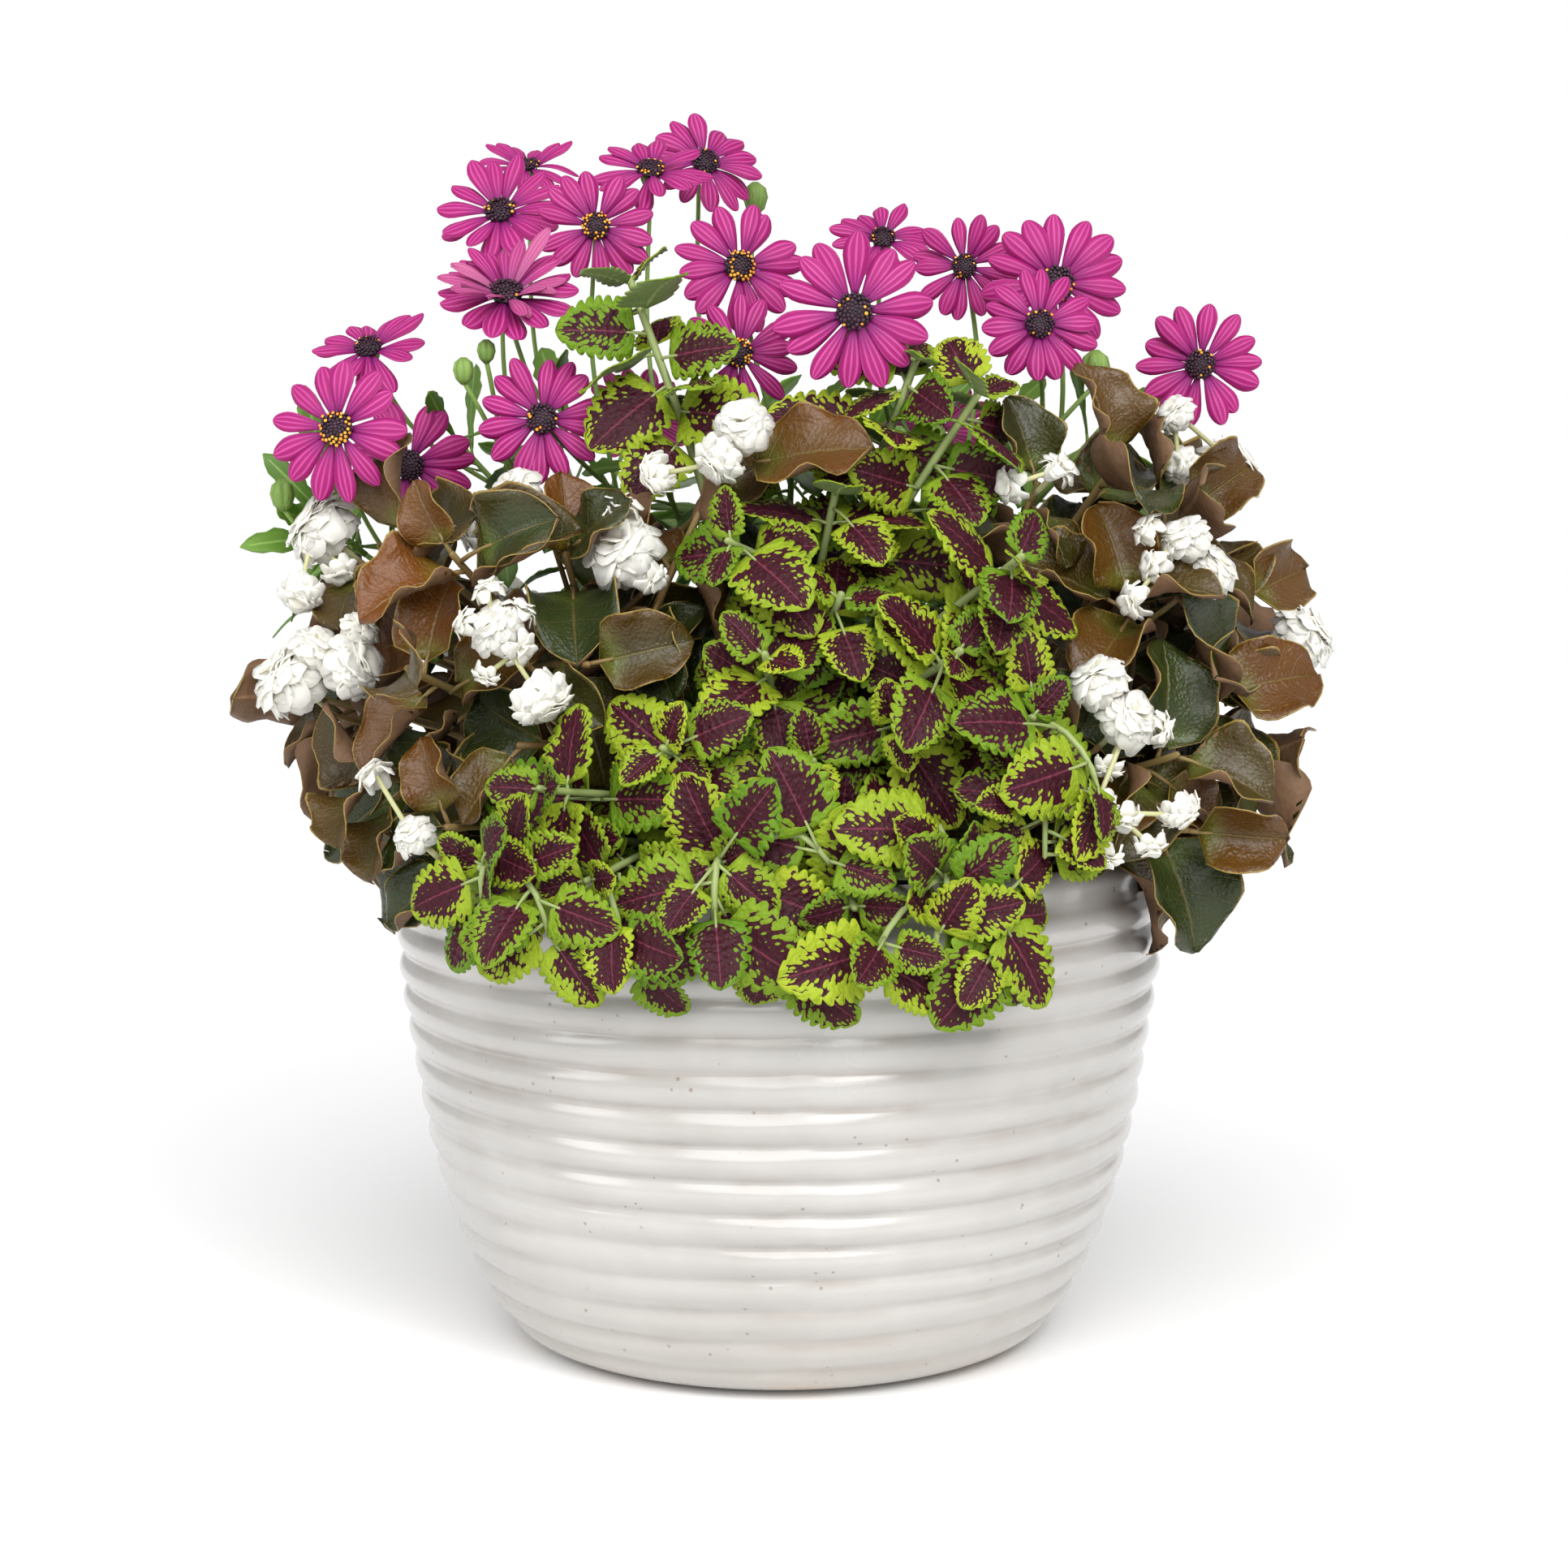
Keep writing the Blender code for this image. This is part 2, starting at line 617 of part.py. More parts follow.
def make_bunches(garden):
    """White heads, fused where they press together and else by short stalks, on one stalk.
    Returns each bunch's foot and the way that its stalk runs."""
    feet = {}
    for number, (node, heads) in enumerate(BUNCHES.items()):
        rng = random.Random(300 + number)
        heads = pressed(sorted(heads, key=lambda h: -h[3]))
        main = heads[0][0]
        inward = Vector((-main.x, -main.y, 0)).normalized()
        rise = (Vector((0, 0, 1)) - inward * 1.2).normalized()
        foot = main - rise * (heads[0][1] + 9)
        for k, (centre, radius) in enumerate(heads):
            outward = (centre - main + rise * 8).normalized()
            flower = placed(head(radius, rng), centre, outward, rng.uniform(0, 1))
            blocked = garden.crossing(flower, {node})
            if blocked:
                print(node, "head at", [round(c) for c in centre], "crosses", blocked)
            garden.add(flower, node, node)
            if k:
                near, size = min(heads[:k], key=lambda other: (other[0] - centre).length - other[1])
                if (near - centre).length > TOUCH * (radius + size):
                    garden.add(tube([near, centre], [1.1, 1.1]), node, node)
        garden.add(tube([foot, main], [1.3, 1.3]), node, node)
        feet[node] = (foot, rise)
    return feet


def make_osteospermum(garden, cups):
    """Leafy shoots from the crown, and on them a stem for each bud and bloom, with a cup of bracts at its end."""
    node = "osteospermum_stems_leaves"
    up = Vector((0, 0, 1))
    tips = [Vector(shoot[:3]) for shoot in GREEN_SHOOTS]
    grown = []
    for number, (tip, start) in enumerate(zip(tips, crown_points(node, tips))):
        outward = Vector((tip.x, tip.y - CROWNS[node][1], 0)).normalized()
        rng = random.Random(500 + number)
        leave = up * 0.42 * (tip.z - start.z)
        arrive = (up + outward * 0.5) * 36
        grown.append(plant_stem(garden, node, start, leave, arrive, tip, [1.9, 1.8, 1.6, 1.4], rng))
    for number, (end, (x, y, z, azimuth, elevation, diameter)) in enumerate(zip(cups, BLOOMS), 1):
        facing = direction(azimuth, elevation)
        cup = CUP_SHARE * diameter / 2
        tail = [(end - facing * 4, cup), (end, cup)]
        rng = random.Random(600 + number)
        bloom = f"bloom_{number:02d}_petals"
        fork_stem(garden, node, grown, facing * 0.5 + up * 0.5, end - facing * 9, tail, rng, bloom)
    for number, (x, y, z, radius) in enumerate(BUDS):
        end = Vector((x, y, z))
        tail = [(end - up * radius * 0.4, radius), (end + up * radius, radius * 0.5)]
        fork_stem(garden, node, grown, up, end - up * radius * 1.6, tail, random.Random(650 + number), None)
    for number, (x, y, z, count, length) in enumerate(GREEN_SHOOTS):
        rng = random.Random(700 + number)
        stem, points = grown[number]
        outward = Vector((x, y - CROWNS[node][1], 0)).normalized()
        for k in range(count):
            at, way = along_route(points, 4 + 9 * k)
            turn = Matrix.Rotation(math.radians(137.5 * k + rng.uniform(-15, 15)), 3, way)
            side = turn @ across(way, outward)
            rise = math.radians(58 - 12 * k)
            out = side * math.cos(rise) + way * math.sin(rise)
            facing = way * math.cos(rise) - side * math.sin(rise)
            size = length * rng.uniform(0.85, 1.05) * (0.75 if k == 0 else 1.0)
            try_leaf(garden, node, stem, "osteospermum", at, out, facing, 3, size, 0.25, 0.03, rng)


def fork_stem(garden, node, shoots, arrive, end, tail, rng, bloom):
    """A flower's stem: it forks from the nearest point of a leafy shoot that it can reach without a crossing."""
    forks = []
    for stem, points in shoots:
        for i, share in FORK_PLACES:
            spot = points[i].lerp(points[i + 1], share)
            low = max(0, spot.z + FORK_RISE - end.z)
            way = (points[i + 1] - points[i]).normalized()
            forks.append(((spot - end).length + 3 * low, spot, stem, way))
    forks.sort(key=lambda fork: fork[0])
    for far, spot, parent, way in forks:
        for attempt in range(5):
            swing = Vector((rng.uniform(-1, 1), rng.uniform(-1, 1), rng.uniform(-0.5, 0.5))) * (attempt * 4)
            leave = (way + (end - spot).normalized()) * 0.25 * far + swing
            points = route(spot, leave, arrive * 0.45 * far, end, 3)
            ends = [point for point, radius in tail]
            widths = [radius for point, radius in tail]
            stem = tube(points + ends, [1.2, 1.2, 1.1] + widths)
            if not garden.crossing(stem, {parent, bloom}):
                garden.add(stem, node)
                return
            stem.free()
    print("no stem reaches", bloom, [round(c) for c in end])


def make_begonia(garden, node, feet):
    """Fleshy stems with cupped leaves in a spiral, and a bare stalk up to the foot of each bunch on its side."""
    up = Vector((0, 0, 1))
    shoots = BEGONIA_SHOOTS[node]
    left = CROWNS[node][0] < 0
    stems = []
    for bunch, (foot, rise) in feet.items():
        if (foot.x < 0) == left:
            seat = [(foot - rise * GAP, 1.3)]
            stems.append((foot - rise * 4, rise * 30, [1.6, 1.5, 1.3], {bunch}, seat))
    for x, y, z, count, length in shoots:
        outward = Vector((x - 0.5 * CROWNS[node][0], y - 0.5 * CROWNS[node][1], 0)).normalized()
        stems.append((Vector((x, y, z)), (outward + up * 0.5).normalized() * 35, [2.0, 1.9, 1.6], (), ()))
    starts = crown_points(node, [stem[0] for stem in stems])
    grown = []
    for number, ((end, arrive, radii, allowed, tail), start) in enumerate(zip(stems, starts)):
        rng = random.Random(900 + number)
        leave = up * (0.5 * (end.z - start.z) + 24)
        grown.append(plant_stem(garden, node, start, leave, arrive, end, radii, rng, allowed, tail))
    for number, (x, y, z, count, length) in enumerate(shoots):
        rng = random.Random(1000 + number)
        stem, points = grown[len(grown) - len(shoots) + number]
        spin = rng.uniform(0, 360)
        for k in range(count):
            at, way = along_route(points, 3 + 9 * k)
            turn = Matrix.Rotation(math.radians(spin + 137.5 * k), 3, way)
            side = turn @ across(way, up)
            rise = math.radians(48 - 13 * k)
            out = side * math.cos(rise) + way * math.sin(rise)
            facing = way * math.cos(rise) - side * math.sin(rise)
            size = length * rng.uniform(0.88, 1.06) * (0.8 if k == 0 else 1.0)
            try_leaf(garden, node, stem, "begonia", at, out, facing, 9, size, 0.42, 0.05, rng)


def make_coleus(garden):
    """Square stems with leaves in crossed pairs, smallest at the tip."""
    node = "coleus"
    starts = crown_points(node, [Vector(shoot[:3]) for shoot in COLEUS_SHOOTS])
    grown = []
    for number, (x, y, z, azimuth, elevation, pairs, length) in enumerate(COLEUS_SHOOTS):
        rng = random.Random(1200 + number)
        arrive = direction(azimuth, elevation) * 38
        leave = Vector((0, 0, 0.5 * (z - starts[number].z) + 24))
        end = Vector((x, y, z))
        stem, points = plant_stem(garden, node, starts[number], leave, arrive, end, [2.0, 1.9, 1.6], rng)
        grown.append((stem, points, rng, pairs, length))
    for stem, points, rng, pairs, length in grown:
        spin = rng.uniform(0, 180)
        for k in range(pairs):
            at, way = along_route(points, 4 + 13 * k + 6 * max(k - 1, 0))
            for half in (0, 180):
                turn = Matrix.Rotation(math.radians(spin + 90 * k + half), 3, way)
                side = turn @ across(way, Vector((0, 0, 1)))
                rise = math.radians((38, 16, 4, -4)[k] + rng.uniform(-6, 6))
                out = side * math.cos(rise) + way * math.sin(rise)
                facing = way * math.cos(rise) - side * math.sin(rise)
                size = length * (0.62, 1.0, 1.0, 0.95)[k] * rng.uniform(0.92, 1.06)
                try_leaf(garden, node, stem, "coleus", at, out, facing, 2 + 2 * k, size, 0.18, 0.04, rng)


def planted():
    """Pot, soil and plants, each piece grown clear of those before it."""
    garden = Planting()
    make_pot(garden)
    make_soil(garden)
    make_crowns(garden)
    cups = make_blooms(garden)
    feet = make_bunches(garden)
    make_osteospermum(garden, cups)
    make_coleus(garden)
    for node in BEGONIA_SHOOTS:
        make_begonia(garden, node, feet)
    return garden


# Objects

def material(name):
    red, green, blue, roughness, metallic = COLOURS[name]
    made = bpy.data.materials.get(name)
    if made is None:
        made = bpy.data.materials.new(name)
        made.use_nodes = True
        shader = made.node_tree.nodes["Principled BSDF"]
        shader.inputs["Base Color"].default_value = (red, green, blue, 1)
        shader.inputs["Roughness"].default_value = roughness
        shader.inputs["Metallic"].default_value = metallic
    return made


def material_name(node):
    if node == "pot":
        return "glazed_ceramic"
    if node == "soil":
        return "soil"
    if node.startswith("bloom"):
        return "osteospermum_rays" if node.endswith("petals") else "osteospermum_disc"
    if node.startswith("begonia_flowers"):
        return "begonia_flower"
    if node.startswith("begonia"):
        return "begonia_leaf"
    return "coleus_leaf" if node == "coleus" else "osteospermum_green"


def to_object(bm, name, collection):
    """A mesh object in metres from a piece in millimetres."""
    mesh = bpy.data.meshes.new(name)
    bmesh.ops.scale(bm, vec=(MM, MM, MM), verts=bm.verts)
    bm.to_mesh(mesh)
    bm.free()
    made = bpy.data.objects.new(name, mesh)
    collection.objects.link(made)
    return made


def apply_modifiers(obj):
    graph = bpy.context.evaluated_depsgraph_get()
    mesh = bpy.data.meshes.new_from_object(obj.evaluated_get(graph))
    obj.modifiers.clear()
    obj.data = mesh


def join(node, pieces, collection):
    """One object for a node: its first piece, with the others united to it."""
    made = to_object(pieces[0], node, collection)
    if len(pieces) > 1:
        others = bpy.data.collections.new(node + "_pieces")
        bpy.context.scene.collection.children.link(others)
        for number, bm in enumerate(pieces[1:]):
            to_object(bm, f"{node}_piece_{number}", others)
        union = made.modifiers.new("union", "BOOLEAN")
        union.operation = "UNION"
        union.operand_type = "COLLECTION"
        union.collection = others
        union.solver = "MANIFOLD"
        apply_modifiers(made)
        for piece in list(others.objects):
            bpy.data.objects.remove(piece)
        bpy.data.collections.remove(others)
    made.data.materials.clear()
    made.data.materials.append(material(material_name(node)))
    return made


def cut_holes(obj, places, radius, low, high):
    """Round holes through a solid: a cylinder at each place, subtracted and removed."""
    for x, y in places:
        cutter = bpy.data.meshes.new("hole")
        bm = bmesh.new()
        bmesh.ops.create_cone(
            bm, cap_ends=True, segments=8, radius1=radius * MM, radius2=radius * MM, depth=(high - low) * MM
        )
        bmesh.ops.translate(bm, verts=bm.verts, vec=(x * MM, y * MM, (low + high) / 2 * MM))
        bm.to_mesh(cutter)
        bm.free()
        tool = bpy.data.objects.new("hole", cutter)
        bpy.context.scene.collection.objects.link(tool)
        cut = obj.modifiers.new("hole", "BOOLEAN")
        cut.operation = "DIFFERENCE"
        cut.object = tool
        apply_modifiers(obj)
        bpy.data.objects.remove(tool)


def main():
    for obj in list(bpy.data.objects):
        bpy.data.objects.remove(obj)
    planter = bpy.data.collections.new("osteospermum_planter")
    bpy.context.scene.collection.children.link(planter)

    garden = planted()
    objects = {node: join(node, pieces, planter) for node, pieces in garden.pieces.items()}
    turns = [2 * math.pi * i / DRAIN_HOLES for i in range(DRAIN_HOLES)]
    drains = [(DRAIN_RING * math.cos(a), DRAIN_RING * math.sin(a)) for a in turns]
    cut_holes(objects["pot"], drains, DRAIN_RADIUS, -5, FLOOR_TOP + 5)
    cut_holes(objects["soil"], CROWNS.values(), ROOT_RADIUS + 1.1 * GAP, SOIL_LEVEL - ROOT_DEPTH, SOIL_LEVEL + 20)
    for node, obj in objects.items():
        print(node, len(obj.data.polygons))


main()
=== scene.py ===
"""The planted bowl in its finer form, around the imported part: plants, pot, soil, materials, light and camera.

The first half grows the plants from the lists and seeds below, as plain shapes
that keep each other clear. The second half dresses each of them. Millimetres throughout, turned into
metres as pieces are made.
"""

import json
import math
import random

import bmesh
import bpy
import numpy as np
from mathutils import Matrix, Vector
from mathutils.bvhtree import BVHTree

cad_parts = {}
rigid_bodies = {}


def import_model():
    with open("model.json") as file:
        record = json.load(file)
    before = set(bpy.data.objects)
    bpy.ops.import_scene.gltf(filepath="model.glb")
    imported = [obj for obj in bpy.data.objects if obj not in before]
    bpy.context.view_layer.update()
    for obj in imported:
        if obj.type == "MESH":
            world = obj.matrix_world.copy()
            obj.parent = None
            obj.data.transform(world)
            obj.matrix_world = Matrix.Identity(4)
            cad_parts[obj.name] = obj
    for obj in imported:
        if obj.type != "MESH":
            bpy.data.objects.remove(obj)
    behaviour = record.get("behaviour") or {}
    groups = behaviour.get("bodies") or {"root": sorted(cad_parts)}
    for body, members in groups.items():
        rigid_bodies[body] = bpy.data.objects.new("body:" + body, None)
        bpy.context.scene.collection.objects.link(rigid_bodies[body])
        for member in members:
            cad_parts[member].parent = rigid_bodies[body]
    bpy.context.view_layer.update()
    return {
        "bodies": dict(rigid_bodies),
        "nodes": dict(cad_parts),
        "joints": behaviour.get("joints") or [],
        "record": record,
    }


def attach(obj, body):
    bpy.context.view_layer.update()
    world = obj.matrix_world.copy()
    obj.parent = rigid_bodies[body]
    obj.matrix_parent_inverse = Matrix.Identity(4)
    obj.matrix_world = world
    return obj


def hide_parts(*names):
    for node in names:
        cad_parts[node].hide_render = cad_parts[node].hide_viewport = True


MM = 0.001
UP = Vector((0, 0, 1))

# The first random seed of each step, so that each step draws its own numbers
SEEDS = {
    "bloom": 100, "bunch": 300, "osteospermum shoot": 500, "bloom stem": 600, "bud stem": 650,
    "osteospermum leaf": 700, "begonia stem": 900, "begonia leaf": 1000, "coleus": 1200,
    "petal skin": 2000, "eye skin": 2100, "tuft": 97, "side shoot": 71, "hanging shoot": 4500,
    "filler leaf": 4000, "plant skin": 5000, "head skin": 6000, "lump": 8,
}

# Pot
POT_OUTLINE = [
    (0, 107), (5, 121), (17, 131.5), (32, 140), (63, 153.5), (108, 165), (168, 174), (205, 176), (226, 172),
]
POT_SIDES = 24
RIBS = 13
RIB_LOW, RIB_PITCH = 14, 15.4
RIB_RISE = 1.7
RIM_TOP = 231
POT_WALL = 12
FLOOR_TOP = 15
DRAIN_HOLES, DRAIN_RADIUS, DRAIN_RING = 3, 6, 55

# Soil
SOIL_LEVEL, SOIL_CROWN = 204, 5
ROOT_RADIUS, ROOT_DEPTH = 16, 40
CROWN_SPREAD, STEM_ROOM = 14, 4.3

# Clearances and thicknesses
GAP = 0.3
BLADE = 1.4
KEEP_CLEAR = 0.35
STEM_TRIES, LEAF_TRIES = 80, 14

# The crown of each plant on the soil (x, y)
CROWNS = {
    "osteospermum_stems_leaves": (0, 42),
    "begonia_left_leaves": (-92, -28),
    "begonia_right_leaves": (98, -26),
    "coleus": (0, -88),
}

# Osteospermum blooms: x, y, z of the centre, azimuth and elevation that it faces, diameter
BLOOMS = [
    (-195, -60, 420, -8, 8, 67),
    (-170, -12, 405, 5, 0, 62),
    (-104, -66, 424, 0, 12, 61),
    (-189, -4, 458, -5, 48, 57),
    (-122, -38, 480, 5, 48, 68),
    (-130, 18, 522, -10, 42, 64),
    (-84, -8, 513, 5, 8, 57),
    (-121, 62, 548, 0, 66, 50),
    (-60, 18, 541, 5, 52, 58),
    (-36, 54, 549, 20, 28, 59),
    (-18, -30, 493, 8, 12, 62),
    (-18, -58, 453, 0, 8, 56),
    (32, -90, 469, 0, 5, 71),
    (49, 52, 513, 0, 40, 53),
    (86, 17, 497, -10, 8, 52),
    (126, -12, 487, 5, 5, 70),
    (115, -50, 466, 0, 15, 57),
    (191, -20, 450, -10, 5, 60),
    (-72, 128, 432, 165, 28, 60),
    (78, 126, 424, -165, 28, 62),
]
RAYS = 12
EYE_SHARE, CUP_SHARE = 0.17, 0.13
PRESS, TOUCH = 1.3, 0.7
FORK_PLACES, FORK_RISE = [(0, 0.5), (1, 0.1), (1, 0.6), (2, 0.15), (2, 0.5)], 45

# Osteospermum buds on their own stems: x, y, z, radius
BUDS = [
    (-139, -60, 446, 3.4), (-130, -50, 455, 3.0), (-12, 78, 536, 4.5), (143, -22, 449, 5.0),
    (-226, -24, 392, 4.2),
]

# Leafy osteospermum shoots: x, y, z of the tip, number of leaves, leaf length
GREEN_SHOOTS = [
    (-206, 14, 372, 5, 64),
    (-152, 12, 418, 3, 50),
    (-100, -20, 430, 4, 52),
    (-58, -40, 412, 3, 46),
    (6, -48, 420, 4, 48),
    (66, -28, 424, 4, 48),
    (100, -8, 424, 3, 46),
    (150, -6, 424, 4, 50),
    (-112, 96, 398, 4, 56),
    (-30, 104, 420, 3, 52),
    (40, 100, 416, 3, 52),
    (112, 92, 400, 4, 56),
    (-66, 166, 330, 4, 58),
    (6, 176, 340, 4, 58),
    (72, 166, 330, 4, 58),
    (-8, 186, 262, 3, 54),
]

# Bunches of double begonia flowers: x, y, z and radius of each head
BUNCHES = {
    "begonia_flowers_01": [(-209, -40, 378, 16), (-196, -52, 357, 7), (-212, -66, 346, 9)],
    "begonia_flowers_02": [(-116, -88, 393, 11.5), (-134, -84, 373, 7)],
    "begonia_flowers_03": [(-68, -108, 369, 16), (-68, -108, 386, 8), (-54, -112, 355, 6.5)],
    "begonia_flowers_04": [
        (-119, -142, 337, 12), (-121, -138, 352, 6.5), (-108, -138, 343, 7.5), (-131, -138, 338, 7),
        (-108, -142, 327, 7.5), (-122, -142, 316, 5.5), (-97, -146, 304, 12),
    ],
    "begonia_flowers_05": [
        (-217, -78, 313, 16.5), (-201, -84, 327, 10), (-182, -88, 318, 14), (-181, -84, 334, 9),
    ],
    "begonia_flowers_06": [(-171, -124, 273, 7), (-153, -148, 251, 8.5)],
    "begonia_flowers_07": [(-16, -118, 421, 11.5), (-27, -120, 404, 10), (-54, -104, 399, 8.5)],
    "begonia_flowers_08": [(173, -62, 428, 8.5), (176, -62, 404, 8), (204, -44, 404, 14.5)],
    "begonia_flowers_09": [(98, -106, 395, 7), (120, -98, 402, 7.5)],
    "begonia_flowers_10": [
        (156, -112, 377, 6.5), (171, -112, 374, 10), (186, -108, 361, 10.5), (158, -116, 361, 6.5),
        (149, -120, 346, 7.5),
    ],
    "begonia_flowers_11": [(237, -50, 330, 17), (224, -56, 322, 9)],
    "begonia_flowers_12": [
        (131, -144, 316, 12), (146, -146, 300, 13), (159, -144, 294, 7), (136, -148, 278, 6),
        (129, -160, 261, 10), (141, -158, 258, 8), (153, -158, 247, 6.5), (167, -152, 259, 8.5),
        (134, -164, 243, 6.5),
    ],
    "begonia_flowers_13": [(-128, 118, 332, 14), (-142, 108, 346, 10)],
    "begonia_flowers_14": [(138, 112, 322, 14), (122, 120, 337, 10)],
}

# Leafy begonia shoots: x, y, z of the tip, number of leaves, leaf length
BEGONIA_SHOOTS = {
    "begonia_left_leaves": [
        (-168, -62, 372, 4, 48),
        (-140, -104, 366, 3, 46),
        (-92, -100, 366, 4, 46),
        (-34, -98, 384, 4, 46),
        (-158, -118, 318, 4, 44),
        (-205, -48, 300, 4, 46),
        (-176, -96, 270, 4, 50),
        (-140, -136, 252, 3, 50),
        (-80, -132, 320, 3, 44),
        (-110, -130, 286, 3, 44),
        (-196, 26, 326, 4, 48),
        (-160, 84, 312, 4, 48),
        (-188, 40, 262, 3, 48),
    ],
    "begonia_right_leaves": [
        (146, -72, 404, 3, 48),
        (112, -84, 396, 2, 44),
        (178, -78, 384, 4, 46),
        (208, -52, 346, 4, 46),
        (150, -112, 352, 3, 42),
        (192, -90, 306, 4, 50),
        (168, -128, 282, 3, 48),
        (205, -58, 276, 4, 52),
        (172, -128, 250, 3, 46),
        (196, 24, 330, 4, 48),
        (160, 84, 316, 4, 48),
        (190, 40, 264, 3, 48),
    ],
}

# Coleus shoots: x, y, z of the tip, azimuth and elevation that it points to, leaf pairs, leaf length
COLEUS_SHOOTS = [
    (-66, -62, 486, 0, 80, 4, 35),
    (60, -84, 452, 0, 78, 4, 34),
    (86, -100, 436, 35, 60, 2, 34),
    (100, -150, 366, 18, 32, 3, 36),
    (74, -166, 328, 5, 30, 2, 30),
    (104, -160, 300, 22, 22, 3, 32),
    (-6, -152, 326, -5, 32, 3, 34),
    (26, -134, 350, 0, 36, 2, 34),
    (24, -112, 394, 0, 40, 2, 36),
    (-48, -164, 288, -8, 26, 3, 34),
    (-98, -172, 272, -16, 22, 3, 34),
    (-26, -186, 242, -6, 12, 3, 34),
    (30, -194, 226, 4, -8, 3, 34),
    (-78, -186, 236, -18, -5, 3, 32),
    (74, -184, 236, 18, 0, 3, 36),
    (14, -156, 282, 4, 26, 2, 32),
    (48, -158, 296, 8, 24, 2, 30),
    (-122, -176, 240, -38, -10, 2, 32),
    (-22, -130, 372, -6, 40, 2, 32),
]

# Which kind of leaf each leafy node carries
LEAFY = {
    "coleus": "coleus", "osteospermum_stems_leaves": "osteospermum",
    "begonia_left_leaves": "begonia", "begonia_right_leaves": "begonia",
}

# Half outlines of the blades: (share of the length, share of the half width). Teeth are the wider points.
BLADES = {
    "osteospermum": [(0.34, 0.55), (0.66, 1.0), (0.82, 0.6)],
    "begonia": [(0.06, 0.84), (0.42, 1.0), (0.76, 0.66)],
    "coleus": [(0.08, 0.86), (0.36, 1.0), (0.47, 0.78), (0.7, 0.72)],
}
BLADE_WIDTH = {"osteospermum": 0.3, "begonia": 0.88, "coleus": 0.84}
ROOT_INSET = 0.4
MID_RIB = {"osteospermum": 0.5, "begonia": 0.46, "coleus": 0.46}
# How far the edges are lifted and the length is bent, as shares of the half width and the length
CUP = {"osteospermum": 0.25, "begonia": 0.42, "coleus": 0.18}
ARCH = {"osteospermum": 0.03, "begonia": 0.05, "coleus": 0.04}
# Turn between one leaf and the next round a stem, in degrees
SPIRAL = 137.5
# Rise in degrees and share of the length of each coleus pair, from the tip down
COLEUS_RISE, COLEUS_SIZE = (38, 16, 4, -4), (0.62, 1.0, 1.0, 0.95)
# Radii along a leafy osteospermum shoot, a flower stem, a begonia or coleus stem, and a bunch's stalk
SHOOT_RADII, FLOWER_RADII = [1.9, 1.8, 1.6, 1.4], [1.2, 1.2, 1.1]
FLESHY_RADII, BUNCH_RADII = [2.0, 1.9, 1.6], [1.6, 1.5, 1.3]


def seeded(step, number=0):
    return random.Random(SEEDS[step] + number)


# Layout: points, directions and routes

def direction(azimuth, elevation):
    """The unit vector at that azimuth (0 is the front, -Y, and 90 is +X) and elevation, in degrees."""
    a, e = math.radians(azimuth), math.radians(elevation)
    return Vector((math.sin(a) * math.cos(e), -math.cos(a) * math.cos(e), math.sin(e)))


def across(along, facing):
    """The unit vector to the right of along, seen from the side that facing points to."""
    side = along.cross(facing)
    if side.length < 1e-6:
        side = along.orthogonal()
    return side.normalized()


def route(start, leave, arrive, end, count):
    """Points of the cubic curve that leaves start along leave and reaches end along arrive."""
    controls = [start, start + leave, end - arrive, end]
    points = []
    for i in range(count):
        t = i / (count - 1)
        weights = ((1 - t) ** 3, 3 * t * (1 - t) ** 2, 3 * t * t * (1 - t), t ** 3)
        points.append(sum((w * c for w, c in zip(weights, controls)), Vector()))
    return points


def crown_points(node, ends):
    """Where each stem starts in its plant's crown: on the side that it leans to, the longest outermost."""
    x, y = CROWNS[node]
    reaches = [math.hypot(end.x - x, end.y - y) - 0.5 * end.z for end in ends]
    order = sorted(range(len(ends)), key=lambda i: reaches[i])
    starts = [None] * len(ends)
    placed_starts = []
    for rank, i in enumerate(order):
        lean = math.atan2(ends[i].y - y, ends[i].x - x)
        ring = CROWN_SPREAD * math.sqrt((rank + 0.5) / len(ends))
        best = None
        for step in range(72):
            aside = math.radians(5) * ((step + 1) // 2) * (1 if step % 2 else -1)
            angle = lean + aside
            spot = Vector((x + ring * math.cos(angle), y + ring * math.sin(angle), SOIL_LEVEL + 10))
            room = min([(spot - other).length for other in placed_starts], default=9)
            if best is None or min(room, STEM_ROOM) > best[0]:
                best = (min(room, STEM_ROOM), spot)
        starts[i] = best[1]
        placed_starts.append(best[1])
    return starts


def along_route(points, back):
    """The point that lies back millimetres before the end of the route, and the way that it runs there."""
    for a, b in zip(points[-2::-1], points[:0:-1]):
        length = (b - a).length
        if back <= length:
            return b + (a - b) * (back / length), (b - a).normalized()
        back -= length
    return points[0].copy(), (points[1] - points[0]).normalized()


# Mesh pieces, as bmesh

